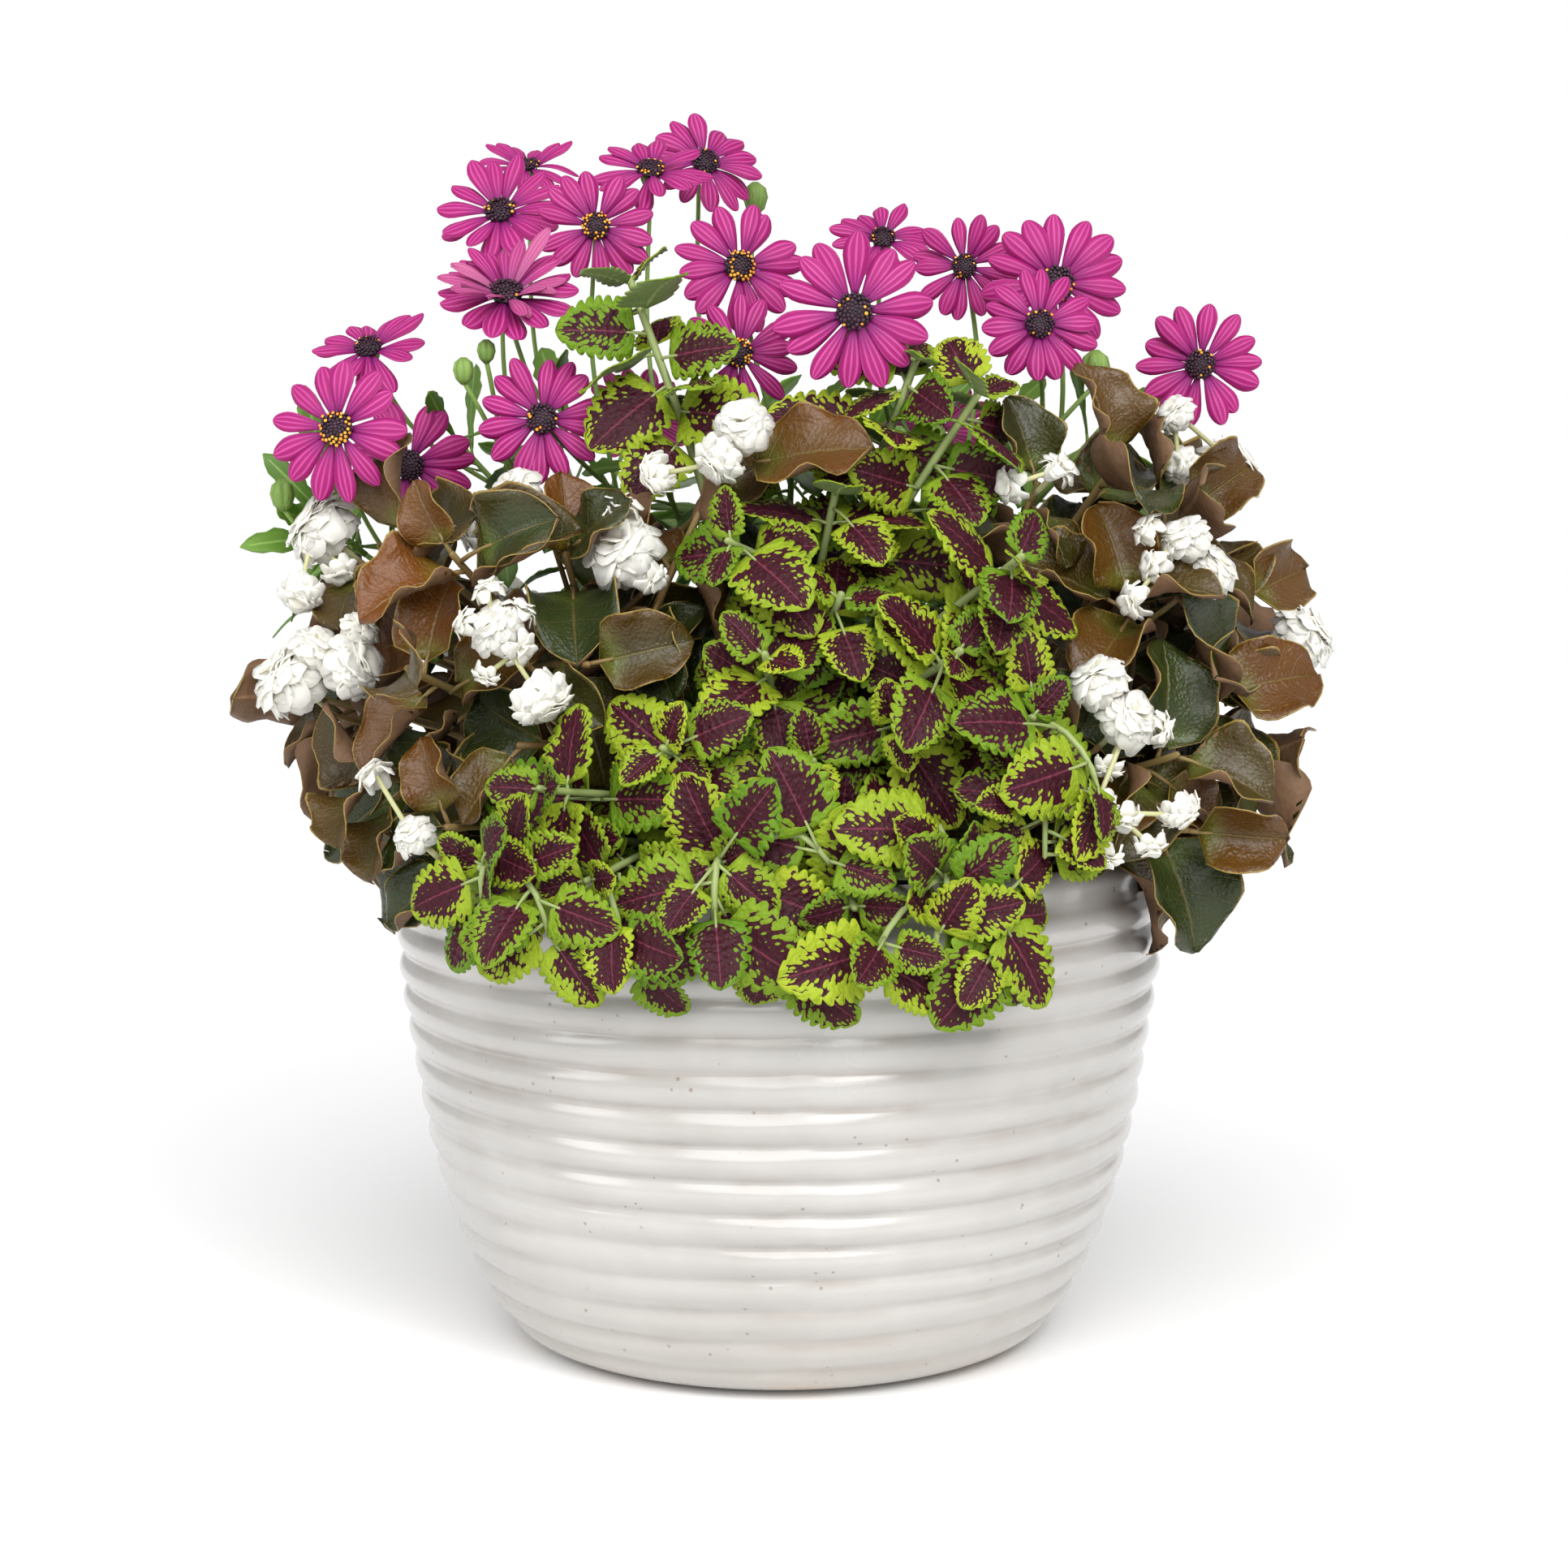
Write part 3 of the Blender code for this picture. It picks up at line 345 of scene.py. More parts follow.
def blade(kind, root, base, tip, facing, cup, arch):
    """A leaf: a stalk from root to base and a blade from base to tip, thick at its midrib, thin at its rim.
    cup lifts its edges, and arch bends its length."""
    bm = bmesh.new()
    length = (tip - base).length
    along = (tip - base).normalized()
    side = across(along, facing)
    normal = side.cross(along).normalized()
    half = length * BLADE_WIDTH[kind] / 2
    outline = BLADES[kind]
    levels = (0.0, MID_RIB[kind])

    def at(t, s, rise=0.0):
        lift = arch * length * 4 * t * (1 - t) + cup * half * s * s + rise
        return bm.verts.new(base + along * (length * t) + side * (half * s) + normal * lift)

    foot = bm.verts.new(root)
    end = at(1.0, 0)
    rims = [[at(t, sign * s) for t, s in outline] for sign in (-1, 1)]
    for rise in (BLADE / 2, -BLADE / 2):
        ribs = [at(t, 0, rise) for t in levels]
        for rim in rims:
            fan(bm, foot, end, ribs, levels, rim, [t for t, s in outline])
    return finished(bm)


def fan(bm, foot, end, ribs, rib_levels, rim, rim_levels):
    """Triangles between a blade's midrib and one side of its rim, the same ones on both faces."""
    k = 0
    bm.faces.new([foot, ribs[0], rim[0]])
    for i in range(len(rim) - 1):
        while k < len(ribs) - 1 and rim_levels[i] + rim_levels[i + 1] > rib_levels[k] + rib_levels[k + 1]:
            bm.faces.new([ribs[k], ribs[k + 1], rim[i]])
            k += 1
        bm.faces.new([ribs[k], rim[i + 1], rim[i]])
    for low, high in zip(ribs[k:], ribs[k + 1:] + [end]):
        bm.faces.new([low, high, rim[-1]])


def rays(diameter, rng):
    """Ray petals about +Z, each with its own pitch and a ridge down its middle, on one body. Returns it
    with the heights that the eye and the cup of bracts keep to, and each petal's pitch and reach."""
    bm = bmesh.new()
    radius = diameter / 2
    inner, middle = 0.2 * radius, 0.6 * radius
    step = 2 * math.pi / RAYS
    turns = [Matrix.Rotation((i - 0.5) * step, 3, "Z") for i in range(RAYS)]
    ring = [bm.verts.new(turn @ Vector((inner, 0, 0))) for turn in turns]
    hubs = [bm.verts.new((0, 0, rise)) for rise in (BLADE / 2, -BLADE / 2)]
    high, low = BLADE / 2, -BLADE / 2
    places = []
    for i in range(RAYS):
        pitch = math.tan(math.radians(rng.uniform(-5, 7)))
        reach = radius * rng.uniform(0.93, 1.0)
        turn = Matrix.Rotation(i * step + rng.uniform(-0.03, 0.03), 3, "Z")
        places.append((pitch, reach))

        def at(out, aside, rise=0.0):
            return bm.verts.new(turn @ Vector((out, aside, (out - inner) * pitch + rise)))

        right, left = at(0.84 * reach, -0.17 * radius), at(0.84 * reach, 0.17 * radius)
        end = at(reach, 0)
        slope = (middle - inner) * pitch / middle * inner
        high, low = max(high, BLADE / 2 + slope), min(low, slope - BLADE / 2)
        for hub, rise in zip(hubs, (BLADE / 2, -BLADE / 2)):
            ridge = at(middle, 0, rise)
            around = [ring[i], right, end, left, ring[(i + 1) % RAYS], hub]
            for a, b in zip(around, around[1:] + around[:1]):
                bm.faces.new([a, b, ridge])
    return finished(bm), high + GAP, low - GAP, places


def disc(diameter):
    """The dark eye of a bloom: a low dome whose florets stand up in turn. Its foot is at z = 0."""
    bm = bmesh.new()
    radius = EYE_SHARE * diameter / 2
    sides = 6
    height = 0.11 * diameter / 2
    rings = [(1.0, 0.0, 0.0), (0.8, 0.9, 0.2)]
    rows = []
    for share, level, jag in rings:
        row = []
        for i in range(sides):
            turn = Matrix.Rotation(2 * math.pi * i / sides, 3, "Z")
            up = height * (level + jag * (1 if i % 2 else -1))
            row.append(bm.verts.new(turn @ Vector((radius * share, 0, up))))
        rows.append(row)
    bm.faces.new(rows[0][::-1])
    for low, high in zip(rows, rows[1:]):
        for i in range(sides):
            j = (i + 1) % sides
            bm.faces.new([low[i], low[j], high[j], high[i]])
    top = bm.verts.new((0, 0, height * 0.95))
    for i in range(sides):
        bm.faces.new([rows[-1][i], rows[-1][(i + 1) % sides], top])
    return finished(bm)


def head(radius, rng):
    """A double flower: petal tips stand out in turn from row to row of a round body."""
    bm = bmesh.new()
    sides, rows = (8 if radius > 13 else 6), (4 if radius > 9 else 3)
    bmesh.ops.create_uvsphere(bm, u_segments=sides, v_segments=rows, radius=radius)
    for v in bm.verts:
        turn = round(math.atan2(v.co.y, v.co.x) / (2 * math.pi / sides))
        row = round((v.co.z / radius + 1) * 2)
        lobe = 1.0 if (turn + row) % 2 else 0.8
        v.co *= lobe * rng.uniform(0.94, 1.04)
        v.co.z *= 0.86
    return finished(bm)


def tube(points, radii, sides=4):
    """A stem through points as a curve with filled caps, turned into a mesh whose caps are welded."""
    curve = bpy.data.curves.new("stem", "CURVE")
    curve.dimensions = "3D"
    curve.bevel_depth = 1.0
    curve.bevel_resolution = (sides - 4) // 2
    curve.use_fill_caps = True
    spline = curve.splines.new("POLY")
    spline.points.add(len(points) - 1)
    for place, point, radius in zip(spline.points, points, radii):
        place.co = (*point, 1)
        place.radius = radius
    holder = bpy.data.objects.new("stem", curve)
    bpy.context.scene.collection.objects.link(holder)
    graph = bpy.context.evaluated_depsgraph_get()
    mesh = bpy.data.meshes.new_from_object(holder.evaluated_get(graph))
    bpy.data.objects.remove(holder)
    bpy.data.curves.remove(curve)
    bm = bmesh.new()
    bm.from_mesh(mesh)
    bpy.data.meshes.remove(mesh)
    bmesh.ops.remove_doubles(bm, verts=bm.verts, dist=0.001)
    return finished(bm)


def turned(outline, sides):
    """A closed solid of revolution about Z. The outline is a list of (radius, height), from bottom to top."""
    bm = bmesh.new()
    rows = []
    for radius, height in outline:
        if radius == 0:
            rows.append([bm.verts.new((0, 0, height))])
        else:
            turns = [2 * math.pi * i / sides for i in range(sides)]
            rows.append([bm.verts.new((radius * math.cos(a), radius * math.sin(a), height)) for a in turns])
    for low, high in zip(rows, rows[1:]):
        for i in range(sides):
            j = (i + 1) % sides
            if len(low) == 1:
                bm.faces.new([low[0], high[j], high[i]])
            elif len(high) == 1:
                bm.faces.new([low[i], low[j], high[0]])
            else:
                bm.faces.new([low[i], low[j], high[j], high[i]])
    return finished(bm)


def finished(bm):
    """Closes the work on a piece: flat faces become triangles and all of them point out."""
    bmesh.ops.triangulate(bm, faces=bm.faces)
    bmesh.ops.recalc_face_normals(bm, faces=bm.faces)
    if bm.calc_volume(signed=True) < 0:
        bmesh.ops.reverse_faces(bm, faces=bm.faces)
    bm.normal_update()
    return bm


# The planting, and what keeps its pieces clear of each other

class Planting:
    """Tells whether a new piece would cross what is already there. Its notes say where each piece stands."""

    def __init__(self):
        self.taken = []
        self.notes = []

    def shape_of(self, bm):
        bm.verts.index_update()
        points = [v.co + v.normal * KEEP_CLEAR for v in bm.verts]
        faces = [[v.index for v in f.verts] for f in bm.faces]
        low = Vector(min(p[i] for p in points) for i in range(3))
        high = Vector(max(p[i] for p in points) for i in range(3))
        return low, high, BVHTree.FromPolygons(points, faces)

    def crosses(self, bm, allowed=()):
        """Whether bm would cross a piece, apart from those whose names are allowed."""
        low, high, tree = self.shape_of(bm)
        for name, (l, h, t) in self.taken:
            if name in allowed or any(low[i] > h[i] or high[i] < l[i] for i in range(3)):
                continue
            if tree.overlap(t):
                return True
        return False

    def add(self, bm, node, name=None):
        name = name or f"{node} {len(self.taken)}"
        self.taken.append((name, self.shape_of(bm)))
        return name

    def add_stem(self, bm, node, points, radii, tail=(), name=None, kind="stem"):
        name = self.add(bm, node, name)
        self.notes.append((kind, node, points, radii, tail, name))
        return name, points


def frame_at(origin, facing, roll):
    """The frame at origin whose Z runs along facing."""
    turn = facing.to_track_quat("Z", "Y").to_matrix().to_4x4()
    return Matrix.Translation(origin) @ turn @ Matrix.Rotation(roll, 4, "Z")


def placed(bm, origin, facing, roll):
    """Turns a piece from +Z to facing and moves it to origin."""
    bmesh.ops.transform(bm, matrix=frame_at(origin, facing, roll), verts=bm.verts)
    return bm


def with_tail(points, radii, tail):
    """The points and radii of a stem together with the (point, radius) pairs at its end."""
    return points + [point for point, _ in tail], radii + [radius for _, radius in tail]


def plant_stem(garden, node, start, leave, arrive, end, radii, rng, allowed=(), tail=()):
    """A stem that swings aside until it crosses nothing. Returns its name and points."""
    for attempt in range(STEM_TRIES):
        swing = Vector((rng.uniform(-1, 1), rng.uniform(-1, 1), rng.uniform(-0.4, 0.6))) * (attempt * 1.5)
        points = route(start, leave + swing, arrive, end, len(radii))
        stem = tube(*with_tail(points, radii, tail))
        if not garden.crosses(stem, {crown_name(node), *allowed}) or attempt == STEM_TRIES - 1:
            return garden.add_stem(stem, node, points, radii, tail)
        stem.free()


def crown_name(node):
    return node + " crown"


def try_leaf(garden, node, stem, at, out, facing, stalk, length, rng, rank, cup=None, arch=None):
    """Adds a leaf, turned or shortened until it is clear, or none where no place is free."""
    kind = LEAFY[node]
    cup, arch = cup or CUP[kind], arch or ARCH[kind]
    for attempt in range(LEAF_TRIES):
        wobble = 0.08 * attempt
        turn = Matrix.Rotation(rng.uniform(-wobble, wobble), 3, facing) @ Matrix.Rotation(
            rng.uniform(-wobble, wobble), 3, across(out, facing)
        )
        way, face = turn @ out, turn @ facing
        size = length * (1 - 0.025 * attempt)
        root = at + way * ROOT_INSET
        base = at + way * (stalk + 2)
        tip = base + (way * 0.94 - face * 0.2).normalized() * size
        leaf = blade(kind, root, base, tip, face, cup, arch)
        if not garden.crosses(leaf, {stem}):
            garden.add(leaf, node)
            garden.notes.append(("leaf", node, kind, root, base, tip, face, cup, arch, rank))
            return
        leaf.free()


def stem_leaf(garden, node, shoot, back, spin, toward, rise, stalk, length, rng, rank):
    """A leaf back millimetres from a shoot's end, turned round it by spin from toward, and raised by rise."""
    stem, points = shoot
    at, way = along_route(points, back)
    side = Matrix.Rotation(math.radians(spin), 3, way) @ across(way, toward)
    rise = math.radians(rise)
    out = side * math.cos(rise) + way * math.sin(rise)
    facing = way * math.cos(rise) - side * math.sin(rise)
    try_leaf(garden, node, stem, at, out, facing, stalk, length, rng, rank)


def pot_outline():
    """(radius, height) of the pot's outside at each rib's valley and crest, from its foot to its rim."""
    levels = [0, 4]
    for i in range(RIBS):
        valley = RIB_LOW + i * RIB_PITCH
        levels += [valley, valley + RIB_PITCH / 2]
    levels.append(RIB_LOW + RIBS * RIB_PITCH)
    rows = []
    for i, z in enumerate(levels):
        rise = 0 if i < 2 else (RIB_RISE if i % 2 else -RIB_RISE)
        rows.append((pot_radius(z) + rise, z))
    return rows


def pot_radius(z):
    """The pot's outer radius at a height, ribs left out: POT_OUTLINE read as a smooth curve."""
    points = POT_OUTLINE
    if z >= points[-1][0]:
        return points[-1][1]
    k = max(i for i in range(len(points) - 1) if points[i][0] <= z)
    (z0, r0), (z1, r1) = points[k], points[k + 1]
    slopes = []
    for j in (k, k + 1):
        a, b = points[max(j - 1, 0)], points[min(j + 1, len(points) - 1)]
        slopes.append((b[1] - a[1]) / (b[0] - a[0]))
    t = (z - z0) / (z1 - z0)
    h = z1 - z0
    return (
        r0 * (2 * t ** 3 - 3 * t ** 2 + 1) + slopes[0] * h * (t ** 3 - 2 * t ** 2 + t)
        + r1 * (3 * t ** 2 - 2 * t ** 3) + slopes[1] * h * (t ** 3 - t ** 2)
    )


def inner_wall():
    """(radius, height) up the inside of the pot, from the floor's edge to just under the rim."""
    levels = [(FLOOR_TOP, 108), (FLOOR_TOP + 14, 124), (80, pot_radius(80) - POT_WALL)]
    return [(r, z) for z, r in levels] + [(pot_radius(215) - POT_WALL, SOIL_LEVEL)]


def make_pot(garden):
    outside = pot_outline()
    top = outside[-1]
    rim = [(top[0] - 1.5, RIM_TOP - 4), (top[0] - 5.5, RIM_TOP), (top[0] - 10.5, RIM_TOP - 3)]
    inside = inner_wall()[::-1]
    profile = [(0, 0)] + outside + rim + inside + [(0, FLOOR_TOP)]
    garden.add(turned(profile, POT_SIDES), "pot")


def make_soil(garden):
    wall = [(r - GAP, z) for r, z in inner_wall()]
    wall[0] = (wall[0][0], FLOOR_TOP + GAP)
    profile = [(0, FLOOR_TOP + GAP)] + wall + [(0, SOIL_LEVEL + SOIL_CROWN)]
    garden.add(turned(profile, POT_SIDES), "soil")


def make_crowns(garden):
    for node, (x, y) in CROWNS.items():
        foot = GAP - ROOT_DEPTH
        levels = [(0, foot), (ROOT_RADIUS, foot), (ROOT_RADIUS, 9), (ROOT_RADIUS - 4, 13), (0, 13)]
        crown = turned([(r, z + SOIL_LEVEL) for r, z in levels], 8)
        bmesh.ops.translate(crown, verts=crown.verts, vec=(x, y, 0))
        garden.add(crown, node, crown_name(node))
        garden.notes.append(("crown", node, x, y))


def make_blooms(garden):
    """Petals and eye of each bloom. Returns the end of each stem's cup."""
    cups = []
    for number, (x, y, z, azimuth, elevation, diameter) in enumerate(BLOOMS, 1):
        rng = seeded("bloom", number)
        facing = direction(azimuth, elevation)
        centre = Vector((x, y, z))
        petals, high, low, places = rays(diameter, rng)
        roll = rng.uniform(0, 1)
        name = bloom_name(number)
        garden.add(placed(petals, centre, facing, roll), name + "_petals", name + "_petals")
        garden.add(placed(disc(diameter), centre + facing * high, facing, rng.uniform(0, 1)), name + "_eye")
        cups.append(centre + facing * low)
        garden.notes.append(("bloom", number, centre, facing, roll, diameter, places, high))
    return cups


def bloom_name(number):
    return f"bloom_{number:02d}"


def pressed(heads):
    """Heads as (centre, radius), small enough to sink no deeper than PRESS of their size into a neighbour."""
    spots = [(Vector(h[:3]), h[3]) for h in heads]
    room = []
    for i, (centre, radius) in enumerate(spots):
        others = [spot for j, spot in enumerate(spots) if j != i]
        limits = [(centre - c).length * PRESS * radius / (radius + r) for c, r in others]
        room.append((centre, min(limits + [radius])))
    return room


def make_bunches(garden):
    """White heads, fused where they press together and else by short stalks, on one stalk.
    Returns each bunch's foot and the way that its stalk runs."""
    feet = {}
    for number, (node, heads) in enumerate(BUNCHES.items()):
        rng = seeded("bunch", number)
        heads = pressed(sorted(heads, key=lambda h: -h[3]))
        main = heads[0][0]
        inward = Vector((-main.x, -main.y, 0)).normalized()
        rise = (Vector((0, 0, 1)) - inward * 1.2).normalized()
        foot = main - rise * (heads[0][1] + 9)
        for k, (centre, radius) in enumerate(heads):
            outward = (centre - main + rise * 8).normalized()
            flower = placed(head(radius, rng), centre, outward, rng.uniform(0, 1))
            garden.notes.append(("head", node, centre, radius, outward))
            garden.add(flower, node, node)
            if k:
                near, size = min(heads[:k], key=lambda other: (other[0] - centre).length - other[1])
                if (near - centre).length > TOUCH * (radius + size):
                    bunch_stalk(garden, node, near, centre, 1.1)
        bunch_stalk(garden, node, foot, main, 1.3)
        feet[node] = (foot, rise)
    return feet


def bunch_stalk(garden, node, low, high, radius):
    garden.add_stem(tube([low, high], [radius] * 2), node, [low, high], [radius] * 2, name=node)


def make_osteospermum(garden, cups):
    """Leafy shoots from the crown, and on them a stem for each bloom and bud."""
    node = "osteospermum_stems_leaves"
    tips = [Vector(shoot[:3]) for shoot in GREEN_SHOOTS]
    outwards = [Vector((tip.x, tip.y - CROWNS[node][1], 0)).normalized() for tip in tips]
    grown = []
    for number, (tip, start, outward) in enumerate(zip(tips, crown_points(node, tips), outwards)):
        leave = UP * 0.42 * (tip.z - start.z)
        arrive = (UP + outward * 0.5) * 36
        rng = seeded("osteospermum shoot", number)
        grown.append(plant_stem(garden, node, start, leave, arrive, tip, SHOOT_RADII, rng))
    for number, (end, (*_, azimuth, elevation, diameter)) in enumerate(zip(cups, BLOOMS), 1):
        facing = direction(azimuth, elevation)
        cup = CUP_SHARE * diameter / 2
        tail = [(end - facing * 4, cup), (end, cup)]
        arrive = facing * 0.5 + UP * 0.5
        petals = bloom_name(number) + "_petals"
        fork_stem(garden, node, grown, arrive, end - facing * 9, tail, seeded("bloom stem", number), petals)
    for number, (x, y, z, radius) in enumerate(BUDS):
        end = Vector((x, y, z))
        tail = [(end - UP * radius * 0.4, radius), (end + UP * radius, radius * 0.5)]
        fork_stem(garden, node, grown, UP, end - UP * radius * 1.6, tail, seeded("bud stem", number), None)
    for number, (*_, count, length) in enumerate(GREEN_SHOOTS):
        rng = seeded("osteospermum leaf", number)
        for k in range(count):
            spin = SPIRAL * k + rng.uniform(-15, 15)
            size = length * rng.uniform(0.85, 1.05) * (0.75 if k == 0 else 1.0)
            stem_leaf(
                garden, node, grown[number], 4 + 9 * k, spin, outwards[number], 58 - 12 * k, 3, size, rng, k
            )


def fork_stem(garden, node, shoots, arrive, end, tail, rng, bloom):
    """A flower's stem: it forks from the nearest point of a leafy shoot that it can reach clear of others."""
    forks = []
    for stem, points in shoots:
        for i, share in FORK_PLACES:
            spot = points[i].lerp(points[i + 1], share)
            low = max(0, spot.z + FORK_RISE - end.z)
            way = (points[i + 1] - points[i]).normalized()
            forks.append(((spot - end).length + 3 * low, spot, stem, way))
    forks.sort(key=lambda fork: fork[0])
    for far, spot, parent, way in forks:
        for attempt in range(5):
            swing = Vector((rng.uniform(-1, 1), rng.uniform(-1, 1), rng.uniform(-0.5, 0.5))) * (attempt * 4)
            leave = (way + (end - spot).normalized()) * 0.25 * far + swing
            points = route(spot, leave, arrive * 0.45 * far, end, len(FLOWER_RADII))
            stem = tube(*with_tail(points, FLOWER_RADII, tail))
            if not garden.crosses(stem, {parent, bloom}):
                garden.add_stem(stem, node, points, FLOWER_RADII, tail, kind="flower stem")
                return
            stem.free()


def make_begonia(garden, node, feet):
    """Fleshy stems with cupped leaves in a spiral, and a bare stalk up to each bunch on its side."""
    shoots = BEGONIA_SHOOTS[node]
    middle_x, middle_y = CROWNS[node]
    stems = []
    for bunch, (foot, rise) in feet.items():
        if (foot.x < 0) == (middle_x < 0):
            seat = [(foot - rise * GAP, 1.3)]
            stems.append((foot - rise * 4, rise * 30, BUNCH_RADII, {bunch}, seat))
    for x, y, z, *_ in shoots:
        outward = Vector((x - 0.5 * middle_x, y - 0.5 * middle_y, 0)).normalized()
        stems.append((Vector((x, y, z)), (outward + UP * 0.5).normalized() * 35, FLESHY_RADII, (), ()))
    starts = crown_points(node, [stem[0] for stem in stems])
    grown = []
    for number, ((end, arrive, radii, allowed, tail), start) in enumerate(zip(stems, starts)):
        leave = UP * (0.5 * (end.z - start.z) + 24)
        rng = seeded("begonia stem", number)
        grown.append(plant_stem(garden, node, start, leave, arrive, end, radii, rng, allowed, tail))
    for number, (shoot, (*_, count, length)) in enumerate(zip(grown[-len(shoots):], shoots)):
        rng = seeded("begonia leaf", number)
        spin = rng.uniform(0, 360)
        for k in range(count):
            size = length * rng.uniform(0.88, 1.06) * (0.8 if k == 0 else 1.0)
            stem_leaf(garden, node, shoot, 3 + 9 * k, spin + SPIRAL * k, UP, 48 - 13 * k, 9, size, rng, k)


def make_coleus(garden):
    """Square stems with leaves in crossed pairs, smallest at the tip."""
    node = "coleus"
    starts = crown_points(node, [Vector(shoot[:3]) for shoot in COLEUS_SHOOTS])
    grown = []
    for number, (x, y, z, azimuth, elevation, pairs, length) in enumerate(COLEUS_SHOOTS):
        rng = seeded("coleus", number)
        arrive = direction(azimuth, elevation) * 38
        leave = Vector((0, 0, 0.5 * (z - starts[number].z) + 24))
        end = Vector((x, y, z))
        shoot = plant_stem(garden, node, starts[number], leave, arrive, end, FLESHY_RADII, rng)
        grown.append((shoot, rng, pairs, length))
    for shoot, rng, pairs, length in grown:
        spin = rng.uniform(0, 180)
        for k in range(pairs):
            back = 4 + 13 * k + 6 * max(k - 1, 0)
            for half in (0, 180):
                rise = COLEUS_RISE[k] + rng.uniform(-6, 6)
                size = length * COLEUS_SIZE[k] * rng.uniform(0.92, 1.06)
                stem_leaf(garden, node, shoot, back, spin + 90 * k + half, UP, rise, 2 + 2 * k, size, rng, k)


def planted():
    """Pot, soil and plants, each piece grown clear of those before it."""
    garden = Planting()
    make_pot(garden)
    make_soil(garden)
    make_crowns(garden)
    cups = make_blooms(garden)
    feet = make_bunches(garden)
    make_osteospermum(garden, cups)
    make_coleus(garden)
    for node in BEGONIA_SHOOTS:
        make_begonia(garden, node, feet)
    return garden


# Finer skins: points in arrays, in millimetres

class Skin:
    """Gathers the faces of one piece, each point with its place (across, along, phase) and a tint."""

    def __init__(self):
        self.points, self.faces, self.places, self.tints, self.slots = [], [], [], [], []
        self.caps = []
        self.count = 0

    def add(self, points, faces, slots, tint, phase, stretch):
        """Takes rows x columns points and the faces among them, numbered from 0."""
        rows, columns = points.shape[:2]
        across, along = np.meshgrid(np.linspace(0, 1, columns), np.linspace(0, stretch, rows))
        self.points.append(points.reshape(-1, 3))
        self.faces.append(faces + self.count)
        self.places.append(np.stack([across, along, np.full(across.shape, phase)], axis=-1).reshape(-1, 3))
        self.tints.append(np.tile(np.array([*tint, 1.0]), (rows * columns, 1)))
        self.slots.append(slots)
        self.count += rows * columns

    def tube(self, points, tint, slot=0, phase=0.5, stretch=1.0):
        """A closed skin round an axis: rings of points, each closed on itself, with both ends capped."""
        rows, columns = points.shape[:2]
        index = np.arange(rows * columns).reshape(rows, columns)
        self.caps.append((list(index[0][::-1] + self.count), slot))
        self.caps.append((list(index[-1] + self.count), slot))
        faces = quads(np.concatenate([index, index[:, :1]], axis=1))
        self.add(points, faces, np.full(len(faces), slot), tint, phase, stretch)

    def sheet(self, points, thickness, tint, slot=0, under=0, phase=0.5):
        """A thin closed sheet over a net of points, with another material under it."""
        rows, columns = points.shape[:2]
        normal = np.cross(np.gradient(points, axis=1), np.gradient(points, axis=0))
        normal /= np.linalg.norm(normal, axis=-1)[..., None] + 1e-9
        top = np.arange(rows * columns).reshape(rows, columns)
        rim = np.concatenate([top[0, :-1], top[:-1, -1], top[-1, :0:-1], top[:0:-1, 0]])
        following = np.roll(rim, -1)
        under_of = rows * columns
        edge = np.stack([following, rim, rim + under_of, following + under_of], axis=-1)
        face = quads(top)
        slots = [np.full(len(face), slot), np.full(len(face), under), np.full(len(edge), slot)]
        for side, faces, chosen in ((0.5, face, slots[0]), (-0.5, face[:, ::-1], slots[1])):
            self.add(points + normal * (side * thickness), faces, chosen, tint, phase, 1.0)
        self.faces.append(edge + self.count - 2 * under_of)
        self.slots.append(slots[2])

    def made(self, name, materials):
        """The piece as an object in metres."""
        mesh = bpy.data.meshes.new(name)
        points = np.concatenate(self.points) * MM
        faces = np.concatenate(self.faces).tolist() + [cap for cap, slot in self.caps]
        slots = np.concatenate([*self.slots, [slot for cap, slot in self.caps]])
        mesh.from_pydata(points.tolist(), [], faces)
        place = mesh.attributes.new("place", "FLOAT_VECTOR", "POINT")
        place.data.foreach_set("vector", np.concatenate(self.places).astype(np.float32).ravel())
        tint = mesh.attributes.new("tint", "FLOAT_COLOR", "POINT")
        tint.data.foreach_set("color", np.concatenate(self.tints).astype(np.float32).ravel())
        mesh.polygons.foreach_set("material_index", slots.astype(np.int32))
        mesh.polygons.foreach_set("use_smooth", np.ones(len(faces), dtype=bool))
        for material in materials:
            mesh.materials.append(material)
        obj = bpy.data.objects.new(name, mesh)
        bpy.context.scene.collection.objects.link(obj)
        return obj


def quads(index):
    corners = [index[:-1, :-1], index[:-1, 1:], index[1:, 1:], index[1:, :-1]]
    return np.stack(corners, axis=-1).reshape(-1, 4)


# Material slots of a leafy piece
LEAF, UNDER, STEM, ROOT = range(4)
PLAIN = (0, 0, 0)


def array(vector):
    return np.array(vector[:])


def smooth_line(points, radii, count):
    """Points and radii at even steps of a smooth curve through the given ones."""
    points = np.array([array(p) for p in points])
    radii = np.array(radii, dtype=float)
    lengths = np.concatenate([[0], np.cumsum(np.linalg.norm(np.diff(points, axis=0), axis=1))])
    slopes = np.gradient(points, lengths, axis=0)
    wanted = np.linspace(0, lengths[-1], count)
    k = np.clip(np.searchsorted(lengths, wanted, side="right") - 1, 0, len(points) - 2)
    h = (lengths[k + 1] - lengths[k])[:, None]
    t = (wanted[:, None] - lengths[k][:, None]) / h
    curve = (
        points[k] * (2 * t ** 3 - 3 * t ** 2 + 1) + slopes[k] * h * (t ** 3 - 2 * t ** 2 + t)
        + points[k + 1] * (3 * t ** 2 - 2 * t ** 3) + slopes[k + 1] * h * (t ** 3 - t ** 2)
    )
    return curve, np.interp(wanted, lengths, radii)


